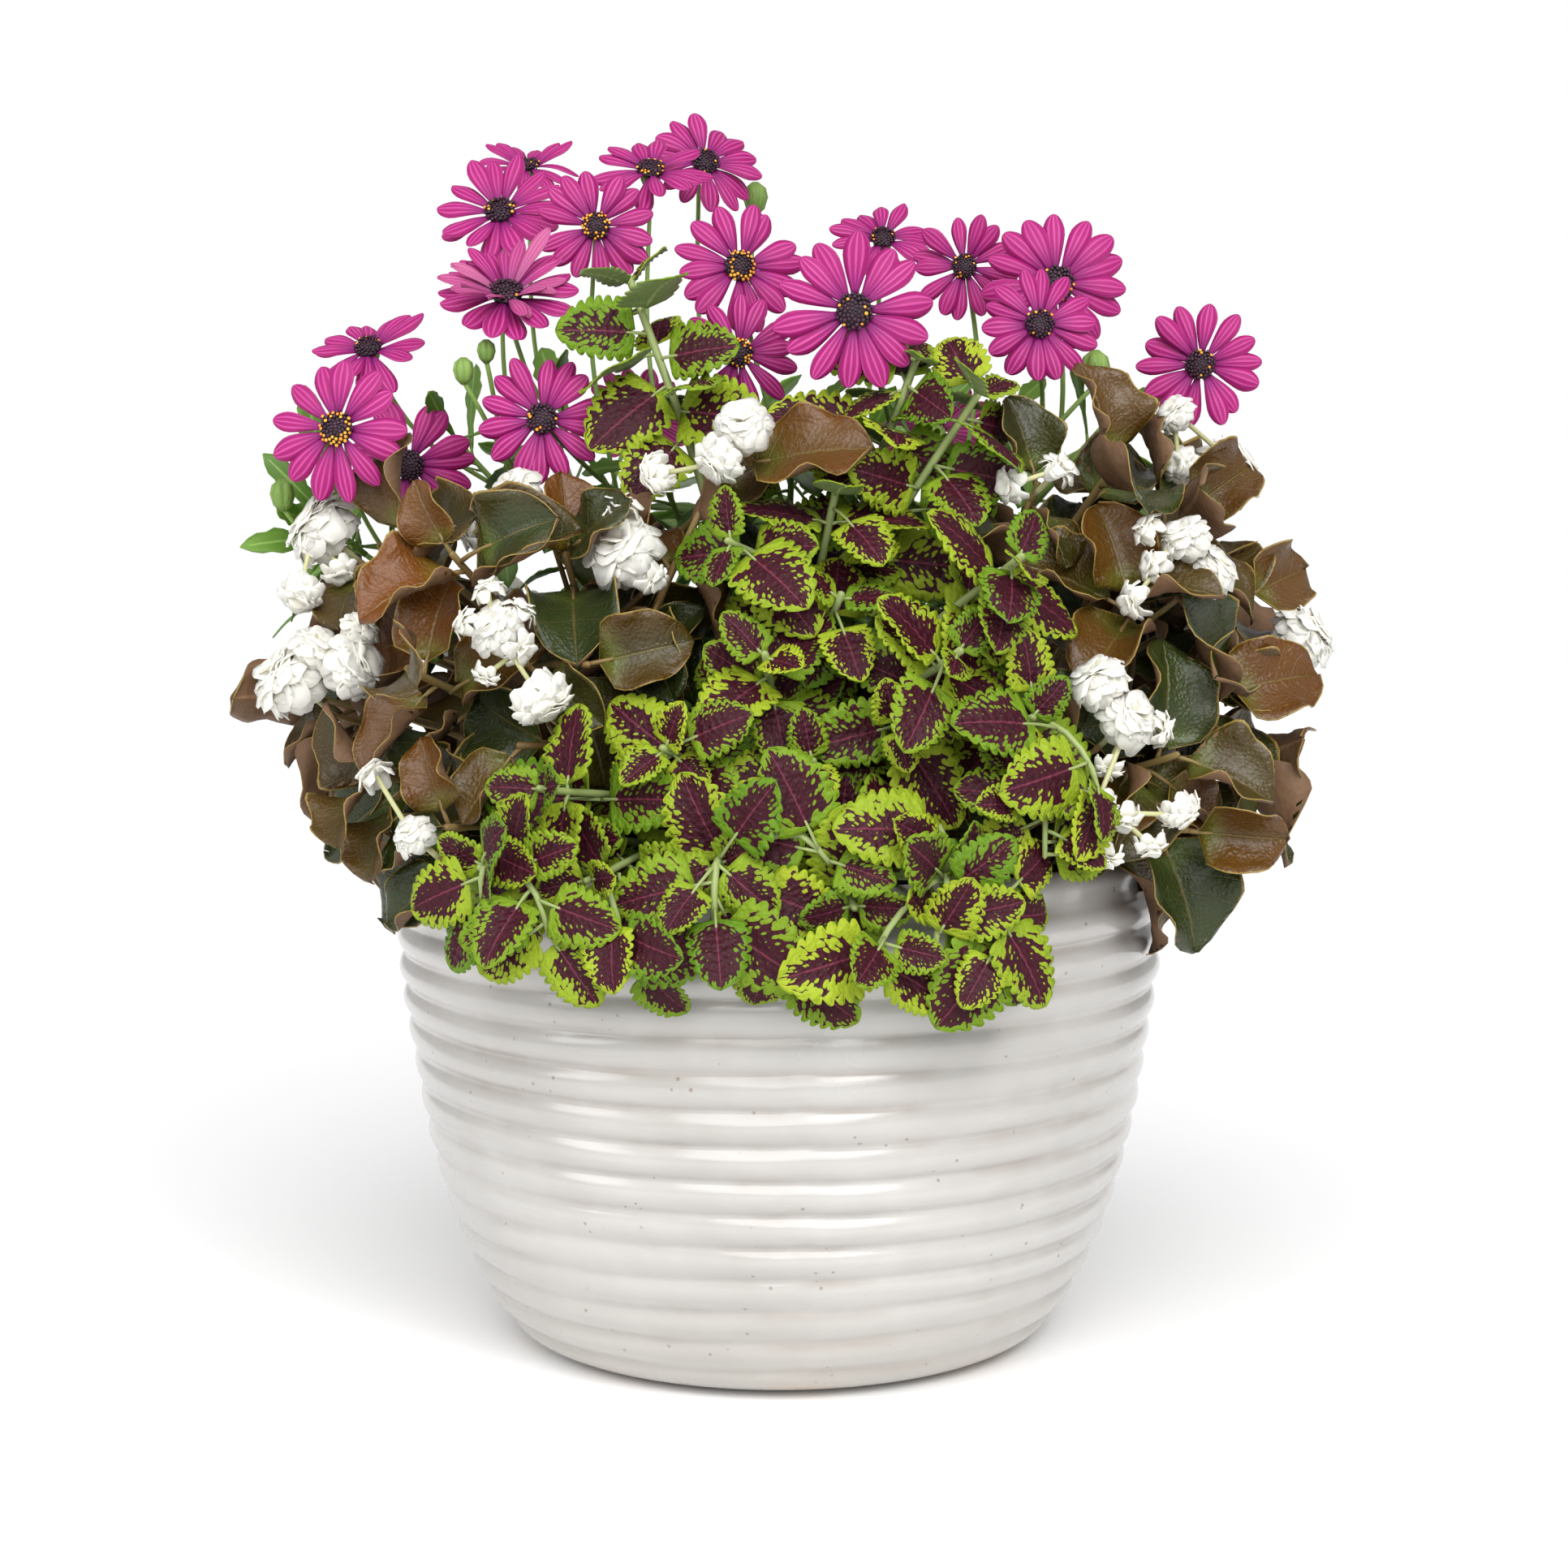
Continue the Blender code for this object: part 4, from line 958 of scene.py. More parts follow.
def stem_skin(skin, points, radii, tint=PLAIN, slot=0, sides=8, count=0, ridged=0.0):
    """A stem's bark: rings that turn with the curve, drawn together at the far end."""
    length = sum((a - b).length for a, b in zip(points, points[1:]))
    count = count or max(5, int(length / 7))
    curve, width = smooth_line(points, radii, count)
    curve = np.concatenate([curve, curve[-1:] + (curve[-1:] - curve[-2:-1]) * 0.12])
    width = np.concatenate([width, width[-1:] * 0.1])
    ways = np.gradient(curve, axis=0)
    ways /= np.linalg.norm(ways, axis=1)[:, None]
    side = np.cross(ways[0], [0.3, 0.9, 0.2])
    rings = []
    angles = np.arange(sides) * 2 * np.pi / sides
    swell = 1 + ridged * np.cos(4 * angles)
    for centre, way, radius in zip(curve, ways, width):
        side = side - way * side.dot(way)
        side /= np.linalg.norm(side)
        up = np.cross(way, side)
        out = np.cos(angles)[:, None] * side + np.sin(angles)[:, None] * up
        rings.append(centre + out * (radius * swell)[:, None])
    skin.tube(np.array(rings), tint, slot, stretch=length / 40)


# Half outlines of the finer leaves: the share of the half width at each share of the length
OUTLINES = {
    "coleus": (
        [0, 0.015, 0.05, 0.12, 0.25, 0.4, 0.55, 0.7, 0.82, 0.92, 0.97, 1],
        [0.1, 0.58, 0.86, 0.98, 1.0, 0.98, 0.92, 0.79, 0.62, 0.39, 0.22, 0.03],
    ),
    "begonia": (
        [0, 0.02, 0.07, 0.18, 0.35, 0.55, 0.74, 0.88, 0.96, 1],
        [0.06, 0.5, 0.8, 0.98, 1, 0.93, 0.74, 0.47, 0.24, 0.02],
    ),
    "osteospermum": ([0, 0.1, 0.3, 0.5, 0.66, 0.8, 0.92, 1], [0.16, 0.24, 0.45, 0.72, 1, 0.86, 0.5, 0.03]),
}
TEETH = {"coleus": 8, "begonia": 16, "osteospermum": 4}
TOOTH_DEPTH = {"coleus": 0.19, "begonia": 0.025, "osteospermum": 0.22}
TOOTH_ROUND = {"coleus": 0.55, "begonia": 0.8, "osteospermum": 1.3}
NET = {"coleus": (33, 7), "begonia": (15, 9), "osteospermum": (13, 5)}
WIDER = {"coleus": 1.1, "begonia": 1.16, "osteospermum": 1.0}
VEINS = {"coleus": 7, "begonia": 5, "osteospermum": 4}
RELIEF = {"coleus": 1.0, "begonia": 1.1, "osteospermum": 0.3}
STALK = {"coleus": 0.9, "begonia": 1.2, "osteospermum": 0.9}
LOBES = {"coleus": 0.07, "begonia": 0.12, "osteospermum": 0.0}
LEAF_THICKNESS = 0.5


def toothed(kind, t, s):
    """The share of the half width that each point of the leaf's net lies from its midrib."""
    tooth = np.abs(np.sin(np.pi * TEETH[kind] * t)) ** TOOTH_ROUND[kind]
    return s * np.interp(t, *OUTLINES[kind]) * (1 - TOOTH_DEPTH[kind] * (1 - tooth) * np.abs(s) ** 3)


def leaf_lift(kind, t, s, out, length, half, cup, arch, rng):
    """Height of the leaf's face over its plain plane: cup, waved rim and the pads between its veins."""
    ridge = np.abs(np.sin(np.pi * VEINS[kind] * (t - 0.28 * np.abs(s)))) ** 0.7
    pads = RELIEF[kind] * (ridge - 0.6) * (1 - s ** 2) * np.minimum(1, 8 * t) * np.minimum(1, 8 * (1 - t))
    midrib = -0.8 * RELIEF[kind] * np.exp(-(s * 5) ** 2)
    droop = -0.08 * length * t ** 3 * rng.random()
    lift = arch * length * 4 * t * (1 - t) + pads + midrib + droop
    if kind == "begonia":
        left, right = rng.uniform(0.4, 1.8), rng.uniform(0.4, 1.8)
        fold = np.where(s < 0, left, right) * cup * half * (0.55 * np.abs(out) + 0.9 * np.abs(out) ** 3)
        frill = 0.15 * half * np.sin(t * rng.uniform(9, 14) + rng.uniform(0, 6) + 2.5 * s) * np.abs(s) ** 3
        return lift + fold * np.minimum(1, 0.45 + 2 * t) + frill
    wave = rng.uniform(0.03, 0.08) * half
    wave = wave * np.sin(t * rng.uniform(7, 12) + rng.uniform(0, 6) + 2 * s) * s ** 2
    return lift + cup * half * out ** 2 * rng.uniform(-0.6, 1.3) + wave


def leaf_skin(skin, kind, root, base, tip, face, cup, arch, rng, tint):
    """A leaf and its stalk, over the midrib of its plain blade: toothed rim, cupped face, pads and veins."""
    length = (tip - base).length
    along = (tip - base).normalized()
    side = across(along, face)
    normal = array(side.cross(along).normalized())
    half = length * BLADE_WIDTH[kind] / 2 * WIDER[kind]
    rows, columns = NET[kind]
    t = np.linspace(0, 1, rows)[:, None]
    s = np.linspace(-1, 1, columns)[None, :]
    out = toothed(kind, t, s) * (1 + rng.uniform(-0.1, 0.1) * np.sign(s))
    lift = leaf_lift(kind, t, s, out, length, half, cup, arch, rng)
    reach = t * length - LOBES[kind] * length * (1 - t) ** 5 * np.abs(s)
    inward = 1 - (0.22 * np.abs(lift) / half * np.abs(s) if kind == "begonia" else 0)
    points = (
        array(base) + array(along) * reach[..., None]
        + array(side) * (half * out * inward)[..., None] + normal * lift[..., None]
    )
    skin.sheet(points, LEAF_THICKNESS, tint, LEAF, UNDER, rng.random())
    bend = root.lerp(base, 0.5) + Vector(normal.tolist()) * 0.06 * (base - root).length
    wide = STALK[kind]
    stem_skin(skin, [root, bend, base + along * 1.5], [wide, wide * 0.9, wide * 0.7], tint, STEM, 5, 4)


# Blooms

PETAL_COUNTS = (13, 14, 15)
PETAL_THICKNESS = 0.4
PETAL_FOOT = 1.0
PETAL_ROWS = (0, 0.13, 0.26, 0.39, 0.52, 0.64, 0.75, 0.84, 0.91, 0.96, 0.99, 1)
PETAL_COLUMNS = 7
PETAL_WIDTH = ([0, 0.1, 0.35, 0.6, 0.75, 1], [0.2, 0.27, 0.66, 0.96, 1, 0.94])
PETAL_TIP = 0.66
# Half width of a petal and of a curled inner one by the bloom's radius
PETAL_HALF, CURLED_HALF = 0.162, 0.11
# The bloom with curled inner petals, their number, and the turn in radians from one to the next
CURLED_BLOOM, CURLED_PETALS, CURLED_TURN = 5, 16, 2.4
# Blooms whose petals stand or hang unevenly, and by how much
WILD_BLOOMS = {4: 0.28, 6: 0.16, 8: 0.38, 9: 0.1, 10: 0.2, 14: 0.16, 15: 0.12}


def petal_skin(skin, frame, turn, reach, half, pitch, rise, rng, tint, droop, curl=0.0):
    """A ray petal: narrow at its foot, widest near its round end, ridged along it, its edges turned down."""
    t = np.array(PETAL_ROWS)[:, None]
    s = np.linspace(1, -1, PETAL_COLUMNS)[None, :]
    rounded = np.sqrt(1.0004 - np.clip((t - PETAL_TIP) / (1 - PETAL_TIP), 0, 1) ** 2)
    width = half * np.interp(t, *PETAL_WIDTH) * rounded
    inner = PETAL_FOOT * half
    span = reach - inner
    sway = rng.uniform(-0.04, 0.04) * reach * t ** 2
    out = inner + span * t
    ridges = 0.14 * np.cos(3 * np.pi * s) * np.minimum(1, 4 * t)
    edges = -rng.uniform(0.05, 0.5) * width * s ** 2
    twist = rng.uniform(-0.2, 0.2) * width * s * t
    bow = rng.uniform(0.02, 0.07) * span * np.sin(np.pi * t)
    fall = -droop * rng.uniform(0.4, 1.3) * span * t ** 2.5
    roll = curl * span * (0.5 * t ** 2 + 0.35 * np.abs(s) * t)
    lift = (out - inner) * pitch + rise + ridges + edges + twist + bow + fall + roll
    aside = s * width * (1 - 0.75 * curl * t) + sway
    local = np.stack([np.broadcast_to(out, lift.shape), aside, lift], axis=-1)
    matrix = np.array(frame.to_3x3() @ turn)
    skin.sheet(local @ matrix.T + array(frame.translation), PETAL_THICKNESS, tint, 0, 1, rng.random())


def bloom_skin(number, frame, radius, places):
    """Petals as long and as steep as those of the plain bloom, and for one bloom a curled tuft more."""
    rng = seeded("petal skin", number)
    skin = Skin()
    shade = rng.random()
    droop = rng.choice((0.03, 0.07, 0.12, 0.18))
    wild = WILD_BLOOMS.get(number, 0.02)
    count = rng.choice(PETAL_COUNTS)
    for k in range(count):
        pitch, reach = places[k * len(places) // count]
        tint = (shade, rng.random(), 0.0)
        rise = 0.4 if k % 2 else -0.3
        turn = Matrix.Rotation((k + rng.uniform(-0.26, 0.26)) * 2 * math.pi / count, 3, "Z")
        half = PETAL_HALF * radius * rng.uniform(0.84, 1.08)
        reach *= rng.uniform(0.92, 1.01)
        lean = pitch + rng.uniform(-wild, 2 * wild)
        petal_skin(skin, frame, turn, reach, half, lean, rise, rng, tint, droop)
    if number == CURLED_BLOOM:
        for k in range(CURLED_PETALS):
            turn = Matrix.Rotation(k * CURLED_TURN + rng.uniform(-0.2, 0.2), 3, "Z")
            lean = rng.uniform(0.2, 0.8)
            tint = (shade, rng.random(), rng.uniform(0.0, 0.8))
            reach, curl = radius * rng.uniform(0.6, 0.92), rng.uniform(0.05, 0.4)
            petal_skin(skin, frame, turn, reach, CURLED_HALF * radius, lean, 0.6, rng, tint, 0.3, curl)
    return skin


# Florets in an eye, its width by the plain eye's, its height by the bloom's radius, and its base's sides
FLORETS, EYE_SPREAD, EYE_RISE, EYE_SIDES = 64, 1.28, 0.10, 18
# Turn in radians from one floret to the next
FLORET_TURN = 2.39996
# Width and height of a floret's rings, from its foot up, as shares of its size
FLORET = [(0.9, 0.0), (0.75, 0.5), (1.15, 0.8), (0.75, 1.0), (0.06, 0.93)]
# Share of the outer florets that show orange anthers, for the blooms where it is high
ORANGE = {1: 0.75, 7: 0.6, 9: 0.5, 11: 0.7, 12: 0.5}


def eye_skin(number, frame, diameter):
    """The eye: florets in a sunflower spiral on a low dome, dark buds inside and open anthers outside."""
    rng = seeded("eye skin", number)
    skin = Skin()
    radius = EYE_SHARE * diameter / 2 * EYE_SPREAD
    height = EYE_RISE * diameter / 2
    rotation, origin = np.array(frame.to_3x3()), array(frame.translation)

    def dome(share):
        return height * (1 - share ** 2.6)

    shares = np.array([1.0, 1.0, 0.85, 0.6, 0.3, 0.02])
    levels = [-0.4, 0.2, *[dome(share) * 0.8 for share in shares[2:]]]
    angles = np.arange(EYE_SIDES) * 2 * np.pi / EYE_SIDES
    base = np.array([ring_of(share * radius, level, angles) for share, level in zip(shares, levels)])
    skin.tube(base @ rotation.T + origin, PLAIN)
    ring = np.arange(5) * np.pi * 0.4
    for k in range(FLORETS):
        share = math.sqrt((k + 0.5) / FLORETS)
        turn = k * FLORET_TURN
        opened = share > 0.6 + rng.uniform(-0.12, 0.12)
        size = radius * (0.085 if share < 0.5 else 0.1) * rng.uniform(0.9, 1.2)
        tall = size * (2.6 if opened else 1.5) * rng.uniform(0.8, 1.3)
        lean = share * 0.5
        axis = np.array([math.cos(turn) * lean, math.sin(turn) * lean, 1.0])
        axis /= np.linalg.norm(axis)
        out = [math.cos(turn) * share * radius * 0.96, math.sin(turn) * share * radius * 0.96]
        foot = np.array([*out, dome(share) * 0.8 - 0.2])
        first = np.cross(axis, [0.1, 1.0, 0.2])
        first /= np.linalg.norm(first)
        second = np.cross(axis, first)
        around = np.cos(ring)[:, None] * first + np.sin(ring)[:, None] * second
        rows = [foot + axis * (tall * level) + around * (size * wide) for wide, level in FLORET]
        tint = (1.0 if opened and rng.random() < ORANGE.get(number, 0.12) else 0.0, rng.random(), share)
        skin.tube(np.array(rows) @ rotation.T + origin, tint)
    return skin


# A cup of bracts: height, reach and half width at each level of a bract, as shares of the cup's
BRACTS = 12
OPEN_CUP = ((-1.1, 0.2, 0.3), (-0.4, 0.85, 0.5), (0.3, 1.16, 0.5), (0.8, 1.24, 0.34), (1.1, 1.3, 0.03))
CLOSED_CUP = ((-1.1, 0.2, 0.3), (-0.6, 0.95, 0.55), (0.2, 1.3, 0.6), (0.9, 1.1, 0.45), (1.35, 0.3, 0.08))
BRACT_TINT = (0.3, 0.4, 0.2)


def bracts_skin(skin, tail, cup):
    """The cup of pointed bracts under a bloom or round a bud, in two layers."""
    (low, wide), (top, _) = tail
    axis = (top - low).normalized()
    first = axis.orthogonal().normalized()
    height = (top - low).length
    for layer in range(2):
        for k in range(BRACTS // 2):
            turn = Matrix.Rotation((k + 0.5 * layer) * 4 * math.pi / BRACTS, 3, axis)
            out = turn @ first
            aside = axis.cross(out)
            net = []
            for level, reach, width in cup:
                spine = low + axis * (level * height) + out * (wide * reach + 0.12 * layer)
                net.append([
                    array(spine + aside * (wide * width * x) - out * (0.12 * wide * abs(x)))
                    for x in (-1, 0, 1)
                ])
            skin.sheet(np.array(net), LEAF_THICKNESS, BRACT_TINT, STEM, STEM)

# Begonia flowers

# Whorls of a double flower: polar angle of the petals' ends in degrees, petals, length by the head's radius
WHORLS = [(112, 9, 0.92), (88, 10, 1.04), (66, 9, 1.02), (44, 7, 0.98), (24, 5, 0.9), (6, 2, 0.8)]
HALF_OPEN = [(96, 4, 1.0), (70, 4, 1.15), (44, 3, 1.1), (16, 3, 1.05)]
HEAD_SWELL, BUD_RADIUS, SMALL_RADIUS = 1.16, 9.0, 11.1
WHITE_THICKNESS = 0.35


def white_petal_skin(skin, rotation, centre, radius, azimuth, polar, reach, rng, share):
    """A petal of a double flower: it leaves the heart upright and bends outward to a ruffled round tip."""
    t = np.linspace(0, 1, 5)[:, None]
    s = np.linspace(-1, 1, 5)[None, :]
    angle = math.radians(polar) * (0.42 + 0.58 * t ** 1.6) + math.radians(20) * t ** 3
    length = radius * reach * rng.uniform(0.9, 1.08)
    half = radius * 0.46 * np.interp(t, [0, 0.25, 0.5, 0.75, 1], [0.3, 0.6, 0.95, 1, 0.6])
    ruffle = 0.03 * radius * np.sin(4.0 * s + rng.uniform(0, 6)) * t ** 2
    cup = 0.18 * half * s ** 2 + ruffle
    out = length * t * (1 - 0.14 * s ** 2 * t ** 3)
    across_x = out * np.sin(angle) - cup * np.cos(angle)
    z = out * np.cos(angle) + cup * np.sin(angle) - 0.25 * radius
    y = s * half
    cos, sin = math.cos(azimuth), math.sin(azimuth)
    local = np.stack([across_x * cos - y * sin, across_x * sin + y * cos, z], axis=-1)
    skin.sheet(local @ rotation.T + centre, WHITE_THICKNESS, (rng.random(), share, 0.0), phase=rng.random())


def head_skin(skin, centre, radius, outward, rng):
    """A double flower with its petals in whorls, fewer of them where it is small or half open."""
    radius *= HEAD_SWELL
    rotation = np.array(outward.to_track_quat("Z", "Y").to_matrix())
    whorls = HALF_OPEN if radius <= BUD_RADIUS else WHORLS
    for rank, (polar, count, reach) in enumerate(whorls):
        count = max(2, int(0.7 * count)) if BUD_RADIUS < radius < SMALL_RADIUS else count
        start = rng.uniform(0, 2 * math.pi)
        # 1 for the outer whorl and less inwards; the petal paint turns yellower by it inwards, partly as
        # painted shade
        share = 1 - rank / len(WHORLS)
        for k in range(count):
            azimuth = start + (k + rng.uniform(-0.2, 0.2)) * 2 * math.pi / count
            lean = polar + rng.uniform(-9, 9)
            white_petal_skin(skin, rotation, array(centre), radius, azimuth, lean, reach, rng, share)


# Pot and soil

# Points round the pot and up its wall, and where the faint seam runs, in radians from the front
POT_TURNS, POT_LEVELS = 180, 170
SEAM_TURN, SEAM_WIDTH = 0.06, 0.02
# The rolled rim: steps out from the top of the wall, and heights
LIP = [
    (-0.6, 219), (0.6, 222.5), (0.2, 225.5), (-1.4, 228.2), (-3.6, 230.2), (-6.0, 230.9), (-8.6, 230.2),
    (-10.4, 228), (-11.4, 224),
]


def pot_skin():
    """The thrown pot: soft ribs that wander a little, a rolled rim, and a flat foot."""
    rng = np.random.default_rng(5)
    skin = Skin()
    angles = np.arange(POT_TURNS) * 2 * np.pi / POT_TURNS
    waves = sum(
        rng.uniform(0.2, 0.55) / k ** 0.7 * np.sin(k * angles + rng.uniform(0, 6))
        for k in (1, 2, 3, 5, 8, 13)
    )
    from_seam = np.angle(np.exp(1j * (angles + np.pi / 2 - SEAM_TURN)))
    seam = np.exp(-(from_seam / SEAM_WIDTH) ** 2)
    top = pot_outline()[-1]
    rows = [ring_of(np.full(POT_TURNS, radius), 0.0, angles) for radius in (0.1, 60.0, 96.0)]
    levels = np.concatenate([[0.0, 0.6, 1.4, 2.4], np.linspace(4, top[1], POT_LEVELS)])
    for z in levels:
        faded = np.clip((z - 3) / 9, 0, 1)
        wander = (waves + 0.4 * np.sin(3 * angles + z / 19) + 0.5 * np.sin(angles - z / 31)) * 0.11
        phase = (z - RIB_LOW) / RIB_PITCH + wander - 0.08 * seam
        crest = np.sqrt(np.sin(np.pi * phase) ** 2 + 0.008)
        uneven = 1 + 0.22 * np.sin(2 * angles + z / 23) + 0.15 * np.sin(7 * angles - z / 11)
        rib = RIB_RISE * (2.0 * crest ** 0.85 - 1.0) * uneven * faded
        foot = 3.5 * np.clip(1 - z / 2.4, 0, 1) ** 2
        radius = pot_radius(z) - foot + rib + 0.35 * np.sin(angles * 2 + 1) - 0.35 * seam * faded
        rows.append(ring_of(radius, z, angles))
    for step, z in LIP:
        rows.append(ring_of(top[0] + step + 0.3 * waves, z + 0.25 * waves, angles))
    for radius, z in [*inner_wall()[::-1], (100, FLOOR_TOP), (0.1, FLOOR_TOP)]:
        rows.append(ring_of(np.full(POT_TURNS, radius), z, angles))
    skin.tube(np.array(rows), PLAIN)
    return skin


def drill(pot):
    """Cuts the drain holes through the pot's floor."""
    cutter = Skin()
    for k in range(DRAIN_HOLES):
        turn = 2 * math.pi * k / DRAIN_HOLES
        x, y = DRAIN_RING * math.cos(turn), DRAIN_RING * math.sin(turn)
        rows = [Vector((x, y, z)) for z in (-5, FLOOR_TOP + 5)]
        stem_skin(cutter, rows, [DRAIN_RADIUS, DRAIN_RADIUS], sides=24, count=2)
    tool = cutter.made("drill", [])
    cut = pot.modifiers.new("drain holes", "BOOLEAN")
    cut.operation = "DIFFERENCE"
    cut.object = tool
    with bpy.context.temp_override(object=pot, active_object=pot, selected_objects=[pot]):
        bpy.ops.object.modifier_apply(modifier=cut.name)
    bpy.data.objects.remove(tool)


def ring_of(radius, z, angles):
    height = np.broadcast_to(z, angles.shape)
    return np.stack([radius * np.cos(angles), radius * np.sin(angles), height], axis=-1)


LUMPS, GRIT_SHARE = 500, 0.05
SOIL_TURNS, SOIL_RINGS = 90, 32
# Width and height of a lump's rings, as shares of its size
LUMP = ((0.3, -0.7), (1.0, -0.4), (1.05, 0.1), (0.8, 0.5), (0.1, 0.62))


def soil_skin():
    """Potting compost: an uneven crumbly top with lumps of bark and grit on it."""
    skin = Skin()
    radius = inner_wall()[-1][0] - GAP
    angles = np.arange(SOIL_TURNS) * 2 * np.pi / SOIL_TURNS
    noise_rng = np.random.default_rng(9)
    rows = []
    for share in np.linspace(1, 0.01, SOIL_RINGS):
        crumbs = noise_rng.uniform(-1.6, 0.9, SOIL_TURNS) * min(1, 6 * share)
        level = SOIL_LEVEL + SOIL_CROWN * (1 - share) + crumbs
        rows.append(ring_of(radius * share, level, angles))
    wall = [ring_of(r - GAP - 1, z, angles) for r, z in inner_wall()[:-1]]
    wall[0][:, 2] += GAP
    skin.tube(np.array([*wall, *rows]), (0.3, 0.0, 0))
    rng = seeded("lump")
    for k in range(LUMPS):
        turn, share = rng.uniform(0, 2 * math.pi), math.sqrt(rng.random()) * 0.97
        size = rng.uniform(1.2, 4.2)
        level = SOIL_LEVEL + SOIL_CROWN * (1 - share)
        centre = np.array([radius * share * math.cos(turn), radius * share * math.sin(turn), level])
        near = [math.hypot(centre[0] - x, centre[1] - y) < ROOT_RADIUS + 6 for x, y in CROWNS.values()]
        if not any(near):
            lump_skin(skin, centre, size, k, rng)
    return skin


def lump_skin(skin, centre, size, turn, rng):
    """A longish jagged crumb, turned about Z. A few are pale grit."""
    ring = np.arange(6) * np.pi / 3
    long = rng.uniform(1.0, 2.2)
    c, d = math.cos(turn), math.sin(turn)
    net = []
    for wide, up in LUMP:
        jag = np.array([rng.uniform(0.75, 1.2) for _ in ring])
        x, y = np.cos(ring) * wide * size * long * jag, np.sin(ring) * wide * size * jag
        height = centre[2] + up * size * jag * 0.8
        net.append(np.stack([centre[0] + c * x - d * y, centre[1] + d * x + c * y, height], axis=-1))
    skin.tube(np.array(net), (rng.random(), 1.0 if rng.random() < GRIT_SHARE else 0.0, 0))


# Materials

class Paint:
    """A material's nodes, written as calls. Each layer of colour is mixed over the base so far."""

    def __init__(self, name, base, **fixed):
        self.material = bpy.data.materials.new(name)
        self.material.use_nodes = True
        self.nodes = self.material.node_tree.nodes
        self.links = self.material.node_tree.links
        self.shader = self.nodes["Principled BSDF"]
        for key, value in fixed.items():
            self.shader.inputs[key.replace("_", " ")].default_value = value
        self.where = self.nodes.new("ShaderNodeTexCoord").outputs["Object"]
        self.base = base

    def put(self, node, key, value):
        if isinstance(value, bpy.types.NodeSocket):
            self.links.new(value, node.inputs[key])
        elif value is not None:
            node.inputs[key].default_value = value

    def math(self, operation, *values):
        node = self.nodes.new("ShaderNodeMath")
        node.operation = operation
        for key, value in enumerate(values):
            self.put(node, key, value)
        return node.outputs[0]

    def times(self, a, b):
        return self.math("MULTIPLY", a, b)

    def plus(self, a, b):
        return self.math("ADD", a, b)

    def scaled(self, value, factor, offset):
        return self.math("MULTIPLY_ADD", value, factor, offset)

    def mix(self, factor, a, b):
        node = self.nodes.new("ShaderNodeMix")
        node.data_type = "RGBA"
        self.put(node, "Factor", factor)
        for key, value in ((6, a), (7, b)):
            self.put(node, key, (*value, 1) if isinstance(value, tuple) else value)
        return node.outputs[2]

    def layer(self, colour, factor, strength=None):
        """Lays a colour over the base where factor is high, with at most the given strength."""
        if strength is not None:
            factor = self.times(factor, strength)
        self.base = self.mix(factor, self.base, colour)

    def step(self, value, low, high):
        """0 below low, 1 above high, and smooth between them."""
        node = self.nodes.new("ShaderNodeMapRange")
        node.interpolation_type = "SMOOTHSTEP"
        for key, number in (("Value", value), ("From Min", low), ("From Max", high)):
            self.put(node, key, number)
        return node.outputs[0]

    def split(self, vector):
        node = self.nodes.new("ShaderNodeSeparateXYZ")
        self.links.new(vector, node.inputs[0])
        return node.outputs[:]

    def attribute(self, name, output):
        node = self.nodes.new("ShaderNodeAttribute")
        node.attribute_name = name
        return self.split(node.outputs[output])

    def place(self):
        """The share across and along its leaf or petal where a point lies, and the leaf's own phase."""
        return self.attribute("place", "Vector")

    def tint(self):
        return self.attribute("tint", "Color")

    def from_middle(self):
        """How far a point lies from the midrib, from 0 to 1."""
        return self.math("ABSOLUTE", self.scaled(self.place()[0], 2.0, -1.0))

    def vector(self, *values):
        node = self.nodes.new("ShaderNodeCombineXYZ")
        for key, value in enumerate(values):
            self.put(node, key, value)
        return node.outputs[0]

    def noise(self, scale, detail=3.0, roughness=0.5, where=None):
        node = self.nodes.new("ShaderNodeTexNoise")
        for key, value in (("Scale", scale), ("Detail", detail), ("Roughness", roughness)):
            self.put(node, key, value)
        self.put(node, "Vector", where or self.where)
        return node.outputs["Fac"]

    def cells(self, scale, where=None, space="3D"):
        node = self.nodes.new("ShaderNodeTexVoronoi")
        node.voronoi_dimensions = space
        self.put(node, "Scale", scale)
        self.put(node, "Vector", where or self.where)
        return node.outputs["Distance"]

    def done(self, roughness=None, relief=None, strength=0.0, distance=0.0):
        """The material, with the base as its colour and a bump whose distance is in metres."""
        if relief:
            bump = self.nodes.new("ShaderNodeBump")
            for key, value in (("Strength", strength), ("Distance", distance), ("Height", relief)):
                self.put(bump, key, value)
            self.put(self.shader, "Normal", bump.outputs[0])
        self.put(self.shader, "Base Color", self.base)
        self.put(self.shader, "Roughness", roughness)
        return self.material


